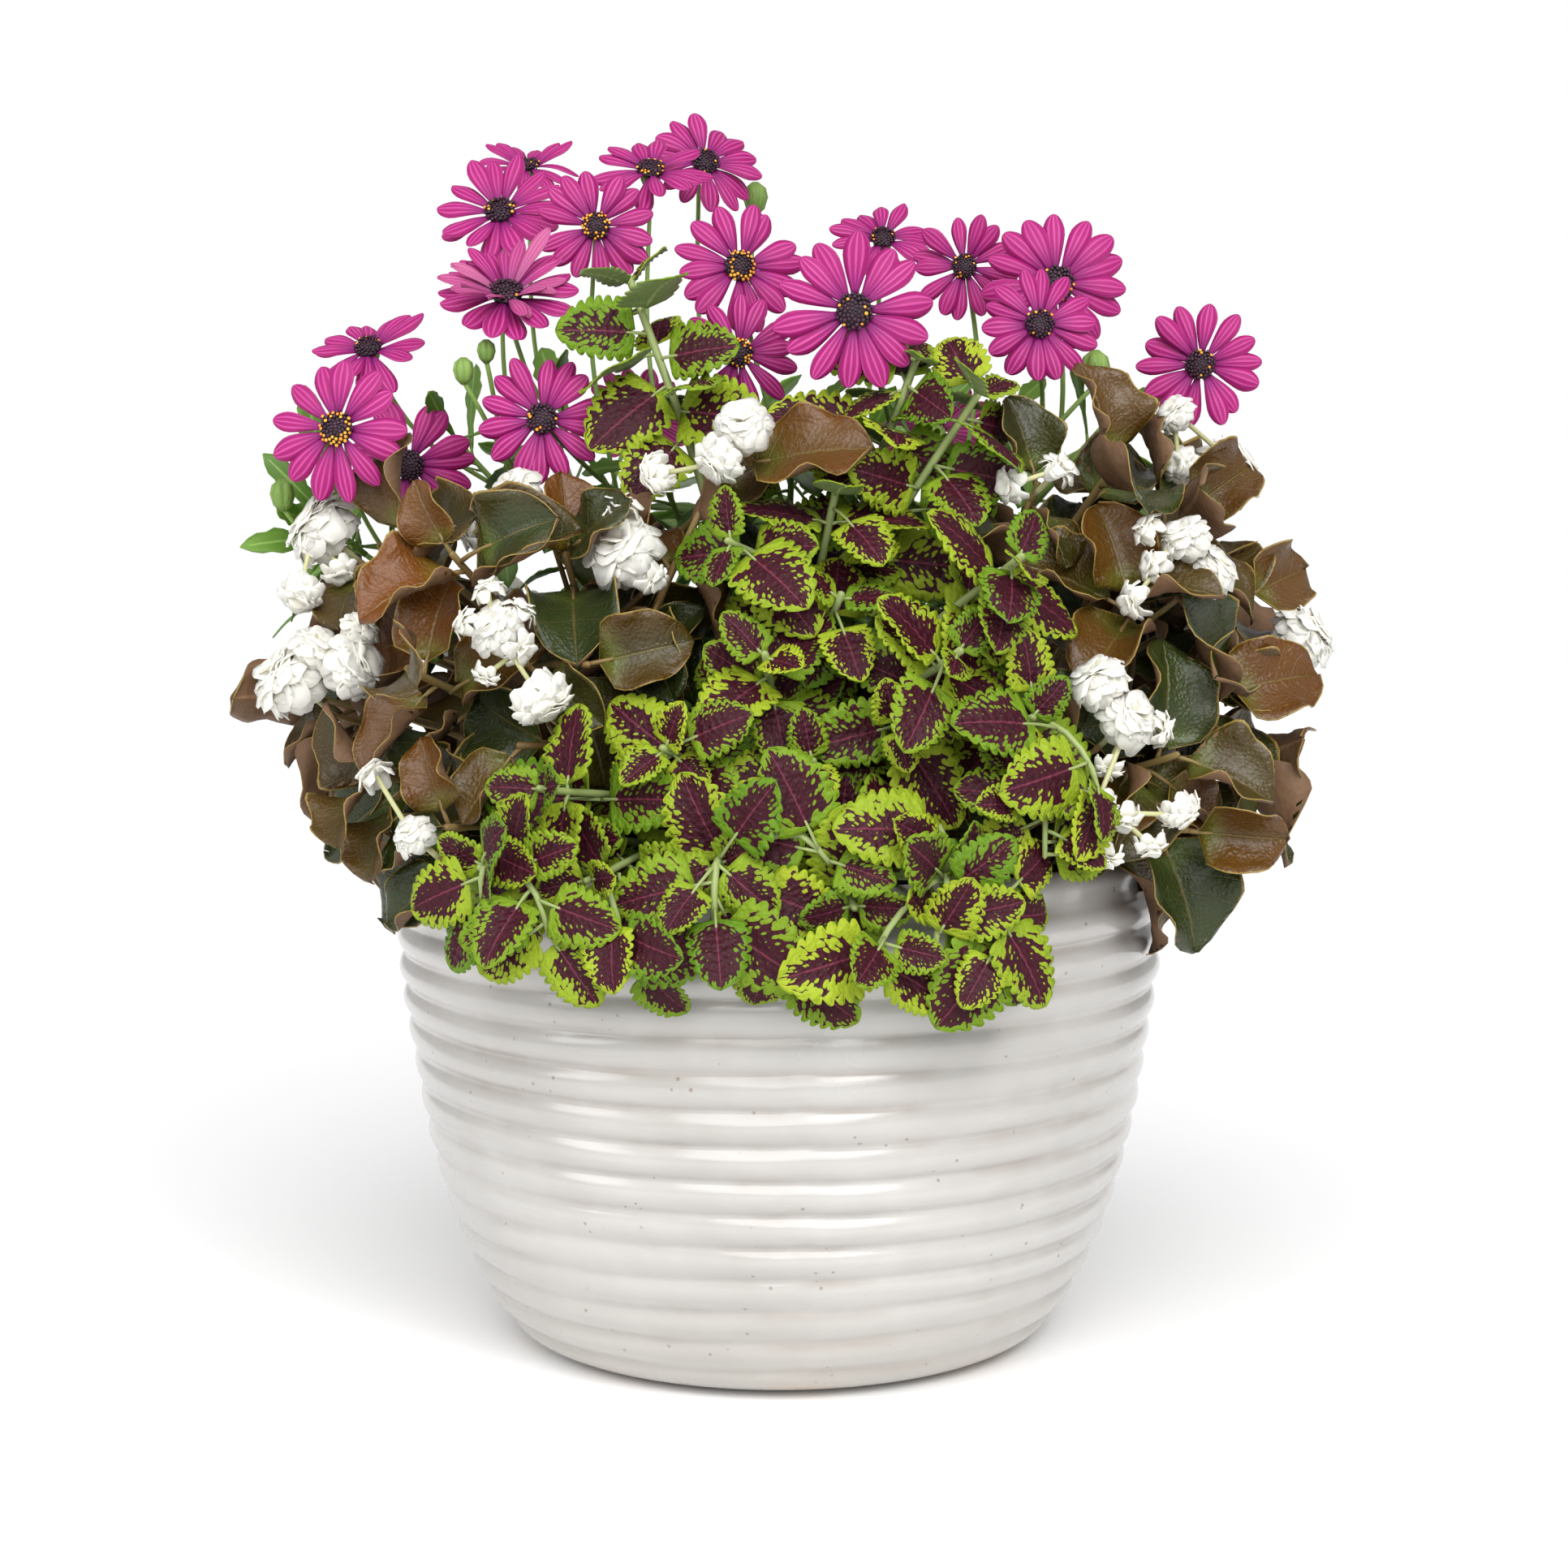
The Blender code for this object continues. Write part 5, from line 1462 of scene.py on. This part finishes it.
def glaze():
    """Off-white glaze, clouded, streaked and freckled, with bare warm clay round the foot; painted shade makes
    it darker and browner in patches in the rib valleys, and greyer towards the foot.
    """
    paint = Paint("pot_glaze", (0.435, 0.419, 0.398), IOR=1.5, Coat_Weight=0.5, Coat_Roughness=0.16)
    height = paint.split(paint.where)[2]
    cloud = paint.noise(9, 4, 0.6)
    paint.layer((0.525, 0.510, 0.490), paint.step(cloud, 0.3, 0.75))
    streaks = paint.nodes.new("ShaderNodeMapping")
    paint.put(streaks, 0, paint.where)
    paint.put(streaks, "Scale", (14, 14, 120))
    lines = paint.noise(1.0, 5, 0.65, streaks.outputs[0])
    paint.layer((0.39, 0.35, 0.32), paint.step(lines, 0.5, 0.8), 0.4)
    # Painted shade: darker and browner in the rib valleys, in patches
    rib = paint.scaled(height, 1 / (RIB_PITCH * MM), -RIB_LOW / RIB_PITCH)
    valley = paint.math("POWER", paint.math("ABSOLUTE", paint.math("COSINE", paint.times(rib, math.pi))), 5.0)
    valley = paint.times(valley, paint.step(paint.noise(22), 0.35, 0.75))
    paint.layer((0.31, 0.255, 0.215), valley, 0.55)
    specks, rare = paint.step(paint.cells(150), 0.17, 0.07), paint.step(paint.noise(60, 1), 0.56, 0.62)
    paint.layer((0.24, 0.17, 0.12), paint.times(specks, rare), 0.75)
    bare = paint.times(paint.step(height, 0.013, 0.0), paint.step(paint.noise(16), 0.35, 0.65))
    paint.layer((0.50, 0.36, 0.25), bare)
    # Painted shade: greyer and darker towards the foot, over the lowest 70 mm
    paint.layer((0.36, 0.33, 0.29), paint.step(height, 0.07, 0.0), 0.4)
    fine = paint.plus(paint.noise(70, 4, 0.6), paint.times(lines, 0.8))
    return paint.done(paint.scaled(paint.step(cloud, 0.2, 0.9), 0.14, 0.17), fine, 0.25, 0.0012)


def compost():
    """Dark brown crumbs with some pale grit."""
    paint = Paint("soil", (0.012, 0.008, 0.005), Roughness=0.95)
    shade, grit, _ = paint.tint()
    paint.layer((0.07, 0.042, 0.025), paint.noise(160, 4, 0.7))
    paint.layer((0.10, 0.06, 0.035), shade, 0.5)
    paint.layer((0.55, 0.53, 0.48), grit)
    return paint.done(None, paint.noise(420, 5, 0.7), 0.9, 0.002)


def petal(name, deep, pale, foot):
    """Ray petal, deep with paler stripes along it, and another colour at its foot."""
    paint = Paint(
        name, deep, Subsurface_Weight=0.12, Subsurface_Scale=0.002, Subsurface_Radius=(1.0, 0.4, 0.6),
        Specular_IOR_Level=0.25,
    )
    x, y, phase = paint.place()
    shade, own, faded = paint.tint()
    seed = paint.times(phase, 30.0)
    wander = paint.noise(2.5, 2, where=paint.vector(paint.times(x, 3.0), y, seed))
    stripe = paint.plus(paint.times(x, 4.0 * 2 * math.pi), paint.times(wander, 1.3))
    stripe = paint.scaled(paint.math("COSINE", stripe), 0.5, 0.5)
    fine = paint.noise(1.0, where=paint.vector(paint.times(x, 46.0), paint.times(y, 1.6), seed))
    paint.layer(pale, paint.times(paint.step(stripe, 0.45, 1.0), paint.step(y, 0.0, 0.25)), 0.85)
    paint.layer((0.66, 0.17, 0.40), paint.step(fine, 0.5, 0.8), 0.2)
    paint.layer((0.42, 0.02, 0.19), shade, 0.3)
    paint.layer(foot, paint.step(y, 0.42, 0.0), 0.75)
    paint.layer((0.30, 0.008, 0.13), own, 0.25)
    paint.layer((0.62, 0.24, 0.38), faded, 0.5)
    relief = paint.plus(stripe, paint.times(fine, 0.6))
    return paint.done(paint.scaled(fine, 0.2, 0.42), relief, 0.35, 0.0004)


def eye():
    """Dark florets, some of them with an open orange ring of anthers."""
    paint = Paint("osteospermum_eye", (0.018, 0.006, 0.014), Roughness=0.6)
    opened, own, _ = paint.tint()
    paint.layer((0.065, 0.016, 0.04), own)
    pollen = paint.mix(own, (0.75, 0.23, 0.015), (0.85, 0.45, 0.04))
    paint.layer(pollen, paint.times(opened, paint.step(paint.place()[1], 0.45, 0.62)))
    return paint.done(None, paint.noise(1500), 0.5, 0.0004)


def osteospermum_leaf():
    """Bright green leaf with a paler midrib and rim and soft mottling."""
    paint = Paint(
        "osteospermum_green", (0.045, 0.12, 0.012), Subsurface_Weight=0.08, Subsurface_Scale=0.0015,
        Subsurface_Radius=(0.5, 1.0, 0.2), Specular_IOR_Level=0.4,
    )
    middle, mottle, rib = paint.from_middle(), paint.noise(90, 4, 0.6), (0.30, 0.45, 0.12)
    shade = paint.plus(paint.times(mottle, 0.6), paint.times(paint.tint()[1], 0.4))
    paint.layer((0.17, 0.33, 0.035), shade)
    paint.layer(rib, paint.step(middle, 0.14, 0.03), 0.6)
    paint.layer(rib, paint.step(middle, 0.88, 1.0), 0.25)
    return paint.done(paint.scaled(mottle, 0.25, 0.34), paint.plus(paint.noise(700), mottle), 0.3, 0.0005)


def stalks(name, low, high):
    """Stem with fine lines along it."""
    paint = Paint(name, low, Subsurface_Weight=0.06, Subsurface_Scale=0.001, Specular_IOR_Level=0.4)
    x, y, phase = paint.place()
    lines = paint.noise(1.0, where=paint.vector(paint.times(x, 18.0), y, phase))
    paint.layer(high, paint.scaled(paint.noise(45), 0.8, paint.times(lines, 0.25)))
    return paint.done(paint.scaled(lines, 0.2, 0.4), lines, 0.3, 0.0006)


def coleus_face():
    """Lime leaf with a maroon heart that breaks up into rows of flecks between its veins towards the rim."""
    paint = Paint(
        "coleus_leaf", (0.062, 0.175, 0.007), Subsurface_Weight=0.05, Subsurface_Scale=0.001,
        Subsurface_Radius=(0.6, 1.0, 0.2), Specular_IOR_Level=0.2,
    )
    x, y, phase = paint.place()
    _, own, lime = paint.tint()
    middle = paint.from_middle()
    seed = paint.times(phase, 40.0)
    seeded_side = paint.plus(seed, paint.times(paint.math("GREATER_THAN", x, 0.5), 7.0))
    slant = paint.math("SUBTRACT", y, paint.times(middle, 0.30))
    rows = paint.vector(paint.scaled(middle, 4.2, seeded_side), paint.scaled(slant, 12.5, seeded_side))
    fleck = paint.cells(1.0, rows, "2D")
    broad = paint.noise(1.0, 2, where=paint.vector(paint.times(x, 3.0), paint.times(y, 3.0), seed))
    far = paint.plus(middle, paint.times(paint.step(y, 0.8, 1.02), 0.6))
    wedge = paint.times(paint.step(y, 0.2, 0.02), paint.step(middle, 0.04, 0.35))
    for more in (paint.times(wedge, 0.7), paint.scaled(broad, 0.5, -0.25), paint.times(lime, 0.3)):
        far = paint.plus(far, more)
    size = paint.scaled(paint.math("SUBTRACT", far, 0.25), 0.95, paint.step(middle, 0.85, 0.91))
    heart = paint.step(paint.math("SUBTRACT", fleck, size), -0.03, 0.05)
    mottle = paint.noise(260, 4, 0.6)
    maroon = paint.mix(mottle, (0.016, 0.002, 0.005), (0.066, 0.006, 0.016))
    maroon = paint.mix(paint.times(paint.step(middle, 0.045, 0.0), 0.6), maroon, (0.24, 0.04, 0.08))
    paint.layer((0.36, 0.44, 0.022), paint.scaled(own, 0.75, paint.times(mottle, 0.3)))
    paint.layer(maroon, heart)
    relief = paint.plus(paint.times(paint.cells(480), 1.5), paint.times(fleck, -1.0))
    return paint.done(paint.scaled(mottle, 0.25, 0.40), relief, 0.45, 0.0009)


def begonia_face():
    """Glossy leaf, from olive to bronze, with a thin ochre rim and paler veins that meet at its foot."""
    paint = Paint(
        "begonia_leaf", (0.006, 0.012, 0.003), Specular_IOR_Level=0.35, Coat_Weight=0.16, Coat_Roughness=0.2,
    )
    y = paint.place()[1]
    bronze, _, young = paint.tint()
    middle = paint.from_middle()
    cloud = paint.noise(34, 4, 0.6)
    paint.layer((0.042, 0.058, 0.008), cloud)
    brown = paint.mix(cloud, (0.018, 0.010, 0.002), (0.100, 0.056, 0.005))
    paint.layer(brown, paint.step(paint.plus(bronze, paint.scaled(middle, 0.35, -0.15)), 0.2, 0.75))
    paint.layer((0.185, 0.052, 0.005), young, 0.8)
    paint.layer((0.12, 0.17, 0.02), paint.step(paint.scaled(middle, 0.12, y), 0.3, 0.0), 0.5)
    veins = paint.times(paint.math("SUBTRACT", y, paint.times(middle, 0.28)), 5 * math.pi)
    veins = paint.step(paint.math("ABSOLUTE", paint.math("SINE", veins)), 0.14, 0.02)
    lines = paint.math("MAXIMUM", paint.step(middle, 0.06, 0.01), paint.times(veins, 0.6))
    paint.layer((0.20, 0.15, 0.04), lines, 0.3)
    paint.layer((0.33, 0.22, 0.05), paint.step(middle, 0.955, 0.99), 0.8)
    relief = paint.scaled(lines, -0.8, paint.plus(paint.noise(330, 4, 0.6), cloud))
    relief = paint.scaled(paint.cells(620), 0.5, relief)
    return paint.done(paint.scaled(paint.noise(120), 0.3, 0.18), relief, 0.6, 0.0012)


def reverse_side(name, low, high):
    """The matt underside of a leaf, paler along its midrib."""
    paint = Paint(name, low, Specular_IOR_Level=0.3)
    paint.layer(high, paint.noise(60, 4))
    paint.layer(tuple(min(1, 1.7 * c) for c in high), paint.step(paint.from_middle(), 0.1, 0.02), 0.5)
    return paint.done(paint.scaled(paint.noise(200, 2), 0.2, 0.5), paint.cells(300), 0.4, 0.0008)


def white_petal():
    """Creamy white with fine lines, yellower on the inner whorls and darker and greener at each petal's foot:
    partly the flower's own cream and green, partly painted shade deep in the flower.
    """
    paint = Paint(
        "begonia_flower", (0.97, 0.94, 0.80), Subsurface_Weight=0.5, Subsurface_Scale=0.006,
        Subsurface_Radius=(1.0, 0.95, 0.8), Specular_IOR_Level=0.1,
    )
    x, y, phase = paint.place()
    fine = paint.noise(1.0, where=paint.vector(paint.times(x, 26.0), y, paint.times(phase, 20.0)))
    paint.layer((0.99, 0.975, 0.90), fine)
    # Inner whorls yellower: partly the flower's own cream, partly painted shade in its heart
    paint.layer((0.90, 0.80, 0.50), paint.step(paint.tint()[1], 0.35, 0.0), 0.35)
    # Darker and greener at each petal's foot: partly the petal's own green base, partly painted shade
    paint.layer((0.72, 0.74, 0.48), paint.step(y, 0.35, 0.0), 0.4)
    return paint.done(paint.scaled(fine, 0.2, 0.45), fine, 0.3, 0.0005)


def floor_white():
    """The studio floor's white, barely clouded."""
    paint = Paint("floor_white", (FLOOR_SHADE,) * 3, Roughness=0.9, Specular_IOR_Level=0.0)
    paint.layer((FLOOR_SHADE * 0.995,) * 3, paint.noise(3, 2))
    return paint.done()


# Leaves and shoots beyond those of the plain plants, grown clear of them in the same way

HEART = Vector((0, 0, 250))
FRONT_LIMIT = -214
EXTRA_RADII, EXTRA_ARCH = [1.6, 1.5, 1.4, 1.2], 0.05
# Rounds of filler leaves, and the length, stalk and greatest distance from the stem's end of each leaf
FILLER_ROUNDS = {"coleus": 11, "begonia": 12, "osteospermum": 18}
FILLER_LENGTH = {"coleus": (25, 40), "begonia": (34, 54), "osteospermum": (36, 60)}
FILLER_STALK = {"coleus": (2, 16), "begonia": (6, 20), "osteospermum": (2, 8)}
FILLER_REACH = {"coleus": 90, "begonia": 100, "osteospermum": 120}
# Tips of short coleus shoots that hang over the front of the rim
HANGING = [
    (-120, -180, 226), (-92, -190, 214), (-62, -194, 206), (-26, -196, 216), (4, -198, 204), (34, -200, 196),
    (62, -196, 206), (90, -190, 212), (108, -172, 244), (62, -182, 250), (20, -190, 244), (132, -166, 262),
]
# Tips of the leafy osteospermum shoots that stick out at the left, and the least x of their leaves
SIDE_SHOOTS = [(-206, -6, 388), (-198, 22, 366)]
SIDE_LIMIT = -258
# Coleus tufts that face the front: least height of a stem's end, leaves on each, and how far down they go
TUFT_HEIGHT, TUFT_LEAVES, TUFT_REACH = 415, 8, 95


def stem_notes(garden, nodes):
    return [note for note in garden.notes if note[0] == "stem" and note[1] in nodes]


def fork_spots(garden, node):
    """Points along the last part of each of a plant's stems."""
    ends = [note[2][-2:] for note in stem_notes(garden, [node])]
    return [low.lerp(high, share) for low, high in ends for share in (0.2, 0.5, 0.8)]


def extra_shoot(garden, node, start, leave, arrive, tip):
    points = route(start, leave, arrive, tip, len(EXTRA_RADII))
    return garden.add_stem(tube(points, EXTRA_RADII), node, points, EXTRA_RADII)


def grow_hanging(garden):
    """Short shoots that leave the coleus where it lies on the rim, and hang down in front of the pot."""
    rng = seeded("hanging shoot")
    spots = fork_spots(garden, "coleus")
    for tip in map(Vector, HANGING):
        start = min(spots, key=lambda spot: (spot - tip).length + 3 * max(0, RIM_TOP + 12 - spot.z))
        outward = Vector((tip.x, tip.y, 0)).normalized()
        leave, arrive = outward * 22 + Vector((0, 0, 12)), Vector((0, 0, -20))
        stem, points = extra_shoot(garden, "coleus", start, leave, arrive, tip)
        for k in range(5):
            facing = (outward + Vector((rng.uniform(-0.3, 0.3), 0, rng.uniform(0.0, 0.5)))).normalized()
            out = Matrix.Rotation(math.radians(rng.uniform(-110, 110)), 3, facing) @ Vector((0, 0, -1))
            at, _ = along_route(points, 1 + 5 * k)
            size = rng.uniform(28, 40)
            if (at + out * size).y >= FRONT_LIMIT:
                out += facing * 0.2
                try_leaf(garden, "coleus", stem, at, out, facing, 5 + k, size, rng, 2, arch=EXTRA_ARCH)


def grow_side(garden):
    """Leafy osteospermum shoots at the left, over the begonia's white flowers."""
    rng = seeded("side shoot")
    node = "osteospermum_stems_leaves"
    spots = fork_spots(garden, node)
    for tip in map(Vector, SIDE_SHOOTS):
        start = min(spots, key=lambda spot: (spot - tip).length)
        stem, points = extra_shoot(garden, node, start, Vector((-25, 0, 12)), Vector((-15, 0, 4)), tip)
        for k in range(8):
            at, way = along_route(points, 1 + 6 * k)
            facing = Vector((rng.uniform(-0.3, 0.3), -0.7, rng.uniform(0.3, 0.8))).normalized()
            out = (Matrix.Rotation(math.radians(rng.uniform(-75, 75)), 3, facing) @ way).normalized()
            size = rng.uniform(38, 52)
            if (at + out * size).x > SIDE_LIMIT:
                try_leaf(garden, node, stem, at, out, facing, 3, size, rng, 2, arch=EXTRA_ARCH)


def grow_tufts(garden):
    """Larger coleus leaves that face the front round the ends of the tallest stems."""
    rng = seeded("tuft")
    for _, node, points, _, _, stem in stem_notes(garden, ["coleus"]):
        if points[-1].z < TUFT_HEIGHT:
            continue
        for k in range(TUFT_LEAVES):
            at, _ = along_route(points, 3 + k * TUFT_REACH / TUFT_LEAVES)
            aside = (1 if k % 2 else -1) * rng.uniform(0.5, 1)
            out = Vector((aside, rng.uniform(-0.5, -0.1), rng.uniform(-0.6, 0.5))).normalized()
            facing = Vector((rng.uniform(-0.3, 0.3), -1, rng.uniform(0.0, 0.4))).normalized()
            size = rng.uniform(30, 42)
            stalk = rng.uniform(3, 9)
            try_leaf(garden, node, stem, at, out, facing, stalk, size, rng, 4, 0.15, EXTRA_ARCH)


def grow_fillers(garden):
    """More leaves on the same shoots, facing outward, where there is room between those that are there."""
    rng = seeded("filler leaf")
    shoots = stem_notes(garden, LEAFY)
    for turn in range(max(FILLER_ROUNDS.values())):
        for _, node, points, _, _, stem in shoots:
            if turn < FILLER_ROUNDS[LEAFY[node]]:
                grow_leaf(garden, node, stem, points, rng)


def grow_leaf(garden, node, stem, points, rng):
    """One filler leaf, if it is clear of the pot's rim, the front limit and the view of the flowers."""
    kind = LEAFY[node]
    at, way = along_route(points, rng.uniform(2, FILLER_REACH[kind]))
    if at.z < RIM_TOP + 4 and 130 < at.xy.length < 184:
        return
    spread = Vector((rng.gauss(0, 1), rng.gauss(0, 1), rng.gauss(0, 1))) * 0.32
    forward = -0.45 if at.y < 20 else 0.2
    facing = ((at - HEART).normalized() + Vector((0, forward, 0.25)) + spread).normalized()
    out = Matrix.Rotation(rng.uniform(0, 2 * math.pi), 3, facing) @ across(facing, way)
    out = (out + Vector((0, 0, -0.25)) + facing * 0.25).normalized()
    length = rng.uniform(*FILLER_LENGTH[kind])
    stalk = rng.uniform(*FILLER_STALK[kind])
    tip = at + out * (stalk + length)
    if tip.y < FRONT_LIMIT or any(screens(at.lerp(tip, share), garden) for share in (0.35, 0.7, 1.0)):
        return
    try_leaf(garden, node, stem, at, out, facing, stalk, length, rng, 5, arch=EXTRA_ARCH)


def screens(spot, garden):
    """Whether a leaf at that spot would stand before a flower, seen from the front."""
    for note in garden.notes:
        if note[0] == "head":
            centre, room = note[2], note[3] + 7
        elif note[0] == "bloom":
            centre, room = note[2], note[5] * 0.45
        else:
            continue
        if spot.y < centre.y and math.hypot(spot.x - centre.x, spot.z - centre.z) < room:
            return True
    return False


# The pieces

# The coleus leaves above this height are in a piece of their own
COLEUS_SPLIT, UPPER = 300, "coleus_upper"


def leaf_tint(kind, rank, rng):
    """Bronze or size, the leaf's own shade, and how young or lime it is."""
    if kind == "begonia":
        bronze, own = rng.uniform(-0.6, 0.75), rng.random()
        return (bronze, own, rng.random() ** 5 if rank > 0 else rng.uniform(0.0, 0.7))
    if kind == "coleus":
        return (0.5, rng.random(), rng.choice((-0.2, 0.0, 0.1, 0.4, 0.9)) if rank else 0.3)
    return (0.5, rng.random(), 0.0)


def plant_skins(garden):
    """The leaves and stems of each plant, and apart from them the coleus leaves higher up."""
    skins = {name: Skin() for name in [*LEAFY, UPPER]}
    centres = [note[2] for note in garden.notes if note[0] == "bloom"]
    for number, (what, node, *rest) in enumerate(garden.notes):
        rng = seeded("plant skin", number)
        if what == "leaf":
            kind, root, base, tip, face, cup, arch, rank = rest
            skin = skins[UPPER if kind == "coleus" and base.z > COLEUS_SPLIT else node]
            tint = leaf_tint(kind, rank, rng)
            leaf_skin(skin, kind, root, base, tip, face, cup, arch, rng, tint)
        elif what == "crown":
            rows = [Vector((*rest, SOIL_LEVEL + z)) for z in (-8, 4, 10, 14)]
            widths = [ROOT_RADIUS, ROOT_RADIUS, ROOT_RADIUS * 0.8, 5]
            stem_skin(skins[node], rows, widths, slot=ROOT, sides=24, count=10)
        elif what in ("stem", "flower stem") and node in skins:
            dress_stem(skins[node], what, node, *rest[:3], centres)
    return skins


def dress_stem(skin, what, node, points, radii, tail, centres):
    """A stem, and at its end the cup of bracts, or for a bunch's stalk the rounded swelling under it."""
    stem_skin(skin, points, radii, slot=STEM, sides=6, ridged=0.1 if node == "coleus" else 0.0)
    if not tail:
        return
    ends, widths = with_tail(points[-1:], radii[-1:], tail)
    if what == "flower stem":
        stem_skin(skin, ends, widths, slot=STEM, sides=10, count=5)
        bloomed = any((ends[-1] - centre).length < 20 for centre in centres)
        bracts_skin(skin, tail, OPEN_CUP if bloomed else CLOSED_CUP)
        return
    along = (ends[-1] - ends[-2]).normalized()
    ends += [ends[-1] + along * (widths[-1] * share) for share in (0.55, 0.9, 1.0)]
    widths += [widths[-1] * share for share in (0.85, 0.45, 0.1)]
    stem_skin(skin, ends, widths, slot=STEM, sides=18, count=14, ridged=0.12)


def dress_plants(garden, materials):
    for name, skin in plant_skins(garden).items():
        node = "coleus" if name == UPPER else name
        piece = skin.made(name + "_fine", [*materials[LEAFY[node]], materials["root"]])
        finish(piece, node)


def dress_blooms(garden, materials):
    for what, number, *rest in garden.notes:
        if what != "bloom":
            continue
        centre, facing, roll, diameter, places, high = rest
        name = bloom_name(number)
        petals = bloom_skin(number, frame_at(centre, facing, roll), diameter / 2, places)
        piece = petals.made(name + "_petals_fine", [materials["petal"], materials["petal back"]])
        finish(piece, name + "_petals")
        florets = eye_skin(number, frame_at(centre + facing * (high - 0.2), facing, roll), diameter)
        finish(florets.made(name + "_eye_fine", [materials["eye"]]), name + "_eye")


def dress_bunches(garden, materials):
    skins = {node: Skin() for node in BUNCHES}
    for number, (what, node, *rest) in enumerate(garden.notes):
        if what == "head":
            centre, radius, outward = rest
            head_skin(skins[node], centre, radius, outward, seeded("head skin", number))
        elif what == "stem" and node in skins:
            points, radii = rest[:2]
            stem_skin(skins[node], points, radii, slot=UNDER, sides=8, count=6)
    for node, skin in skins.items():
        piece = skin.made(node + "_fine", [materials["white"], materials["pale stalk"]])
        finish(piece, node)


def dress_pot(materials):
    pot = pot_skin().made("pot_fine", [materials["glaze"]])
    drill(pot)
    finish(pot, "pot")
    finish(soil_skin().made("soil_fine", [materials["soil"]]), "soil")


def finish(piece, node):
    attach(piece, "root")
    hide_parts(node)


def all_materials():
    """The materials of each kind of leafy piece (face, underside, stalk), and the others by name."""
    leaf = osteospermum_leaf()
    petal_face = (0.285, 0.005, 0.118), (0.57, 0.078, 0.315), (0.14, 0.008, 0.12)
    petal_back = (0.30, 0.03, 0.15), (0.56, 0.17, 0.37), (0.30, 0.08, 0.18)
    return {
        "osteospermum": (leaf, leaf, stalks("osteospermum_stem", (0.10, 0.20, 0.03), (0.28, 0.42, 0.10))),
        "begonia": (
            begonia_face(), reverse_side("begonia_under", (0.085, 0.042, 0.020), (0.21, 0.120, 0.065)),
            stalks("begonia_stem", (0.16, 0.05, 0.03), (0.28, 0.24, 0.07)),
        ),
        "coleus": (
            coleus_face(), reverse_side("coleus_under", (0.13, 0.20, 0.06), (0.24, 0.30, 0.12)),
            stalks("coleus_stem", (0.20, 0.26, 0.07), (0.38, 0.46, 0.18)),
        ),
        "root": stalks("root_stock", (0.05, 0.03, 0.015), (0.16, 0.11, 0.05)),
        "petal": petal("osteospermum_petal", *petal_face),
        "petal back": petal("osteospermum_petal_back", *petal_back),
        "eye": eye(),
        "white": white_petal(),
        "pale stalk": stalks("begonia_stalk", (0.40, 0.42, 0.18), (0.60, 0.58, 0.34)),
        "glaze": glaze(),
        "soil": compost(),
    }


# Studio

CAMERA_PLACE = (0.0019, -1.300, 0.385)
CAMERA_TILT, LENS, SENSOR = 5.63, 64.1, 36.0
AIM = Vector((0, 0, 0.28))
# Soft lamps that aim at the planting: name, place, size across, power
LAMPS = [
    ("key", (0.7, -1.5, 1.3), 0.7, 9.0),
    ("left", (-1.4, -0.8, 0.9), 0.7, 5.0),
]
SUN_TILT, SUN_TURN, SUN_WIDTH, SUN_POWER = 50, 2, 60, 2.9
WORLD_LIGHT, WORLD_SEEN = 0.46, 1.0
FLOOR_RADIUS, FLOOR_SHADE = 6.0, 0.97

def surround():
    """An even white surround, seen by the camera as pure white."""
    world = bpy.data.worlds.new("surround")
    bpy.context.scene.world = world
    world.use_nodes = True
    nodes, links = world.node_tree.nodes, world.node_tree.links
    light, seen = nodes["Background"], nodes.new("ShaderNodeBackground")
    for background, strength in ((light, WORLD_LIGHT), (seen, WORLD_SEEN)):
        background.inputs["Color"].default_value = (1, 1, 1, 1)
        background.inputs["Strength"].default_value = strength
    path = nodes.new("ShaderNodeLightPath")
    mix = nodes.new("ShaderNodeMixShader")
    links.new(path.outputs["Is Camera Ray"], mix.inputs[0])
    links.new(light.outputs[0], mix.inputs[1])
    links.new(seen.outputs[0], mix.inputs[2])
    links.new(mix.outputs[0], nodes["World Output"].inputs["Surface"])


def stand(name, data, place, rotation):
    """Puts a light or a camera into the scene."""
    obj = bpy.data.objects.new(name, data)
    obj.location = place
    obj.rotation_euler = rotation
    bpy.context.scene.collection.objects.link(obj)
    return obj


def studio():
    """A pale floor, soft light from the front, the left and above, and the camera."""
    bpy.ops.mesh.primitive_circle_add(vertices=96, radius=FLOOR_RADIUS, fill_type="NGON")
    floor = bpy.context.object
    floor.name = "floor"
    floor.data.materials.append(floor_white())
    surround()
    bpy.context.scene.view_settings.view_transform = "Standard"
    for name, place, size, power in LAMPS:
        light = bpy.data.lights.new(name, "AREA")
        light.shape = "DISK"
        light.size = size
        light.energy = power
        stand(name, light, place, (AIM - Vector(place)).to_track_quat("-Z", "Y").to_euler())
    sun = bpy.data.lights.new("sun", "SUN")
    sun.energy = SUN_POWER
    sun.angle = math.radians(SUN_WIDTH)
    stand("sun", sun, (0, 0, 0), (math.radians(SUN_TILT), 0, math.radians(SUN_TURN)))
    camera = bpy.data.cameras.new("camera")
    camera.lens = LENS
    camera.sensor_width = SENSOR
    viewer = stand("camera", camera, CAMERA_PLACE, (math.radians(90 - CAMERA_TILT), 0, 0))
    bpy.context.scene.camera = viewer


def main():
    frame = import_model()
    garden = planted()
    grow_tufts(garden)
    grow_side(garden)
    grow_hanging(garden)
    grow_fillers(garden)
    materials = all_materials()
    dress_plants(garden, materials)
    dress_blooms(garden, materials)
    dress_bunches(garden, materials)
    dress_pot(materials)
    studio()
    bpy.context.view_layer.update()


main()
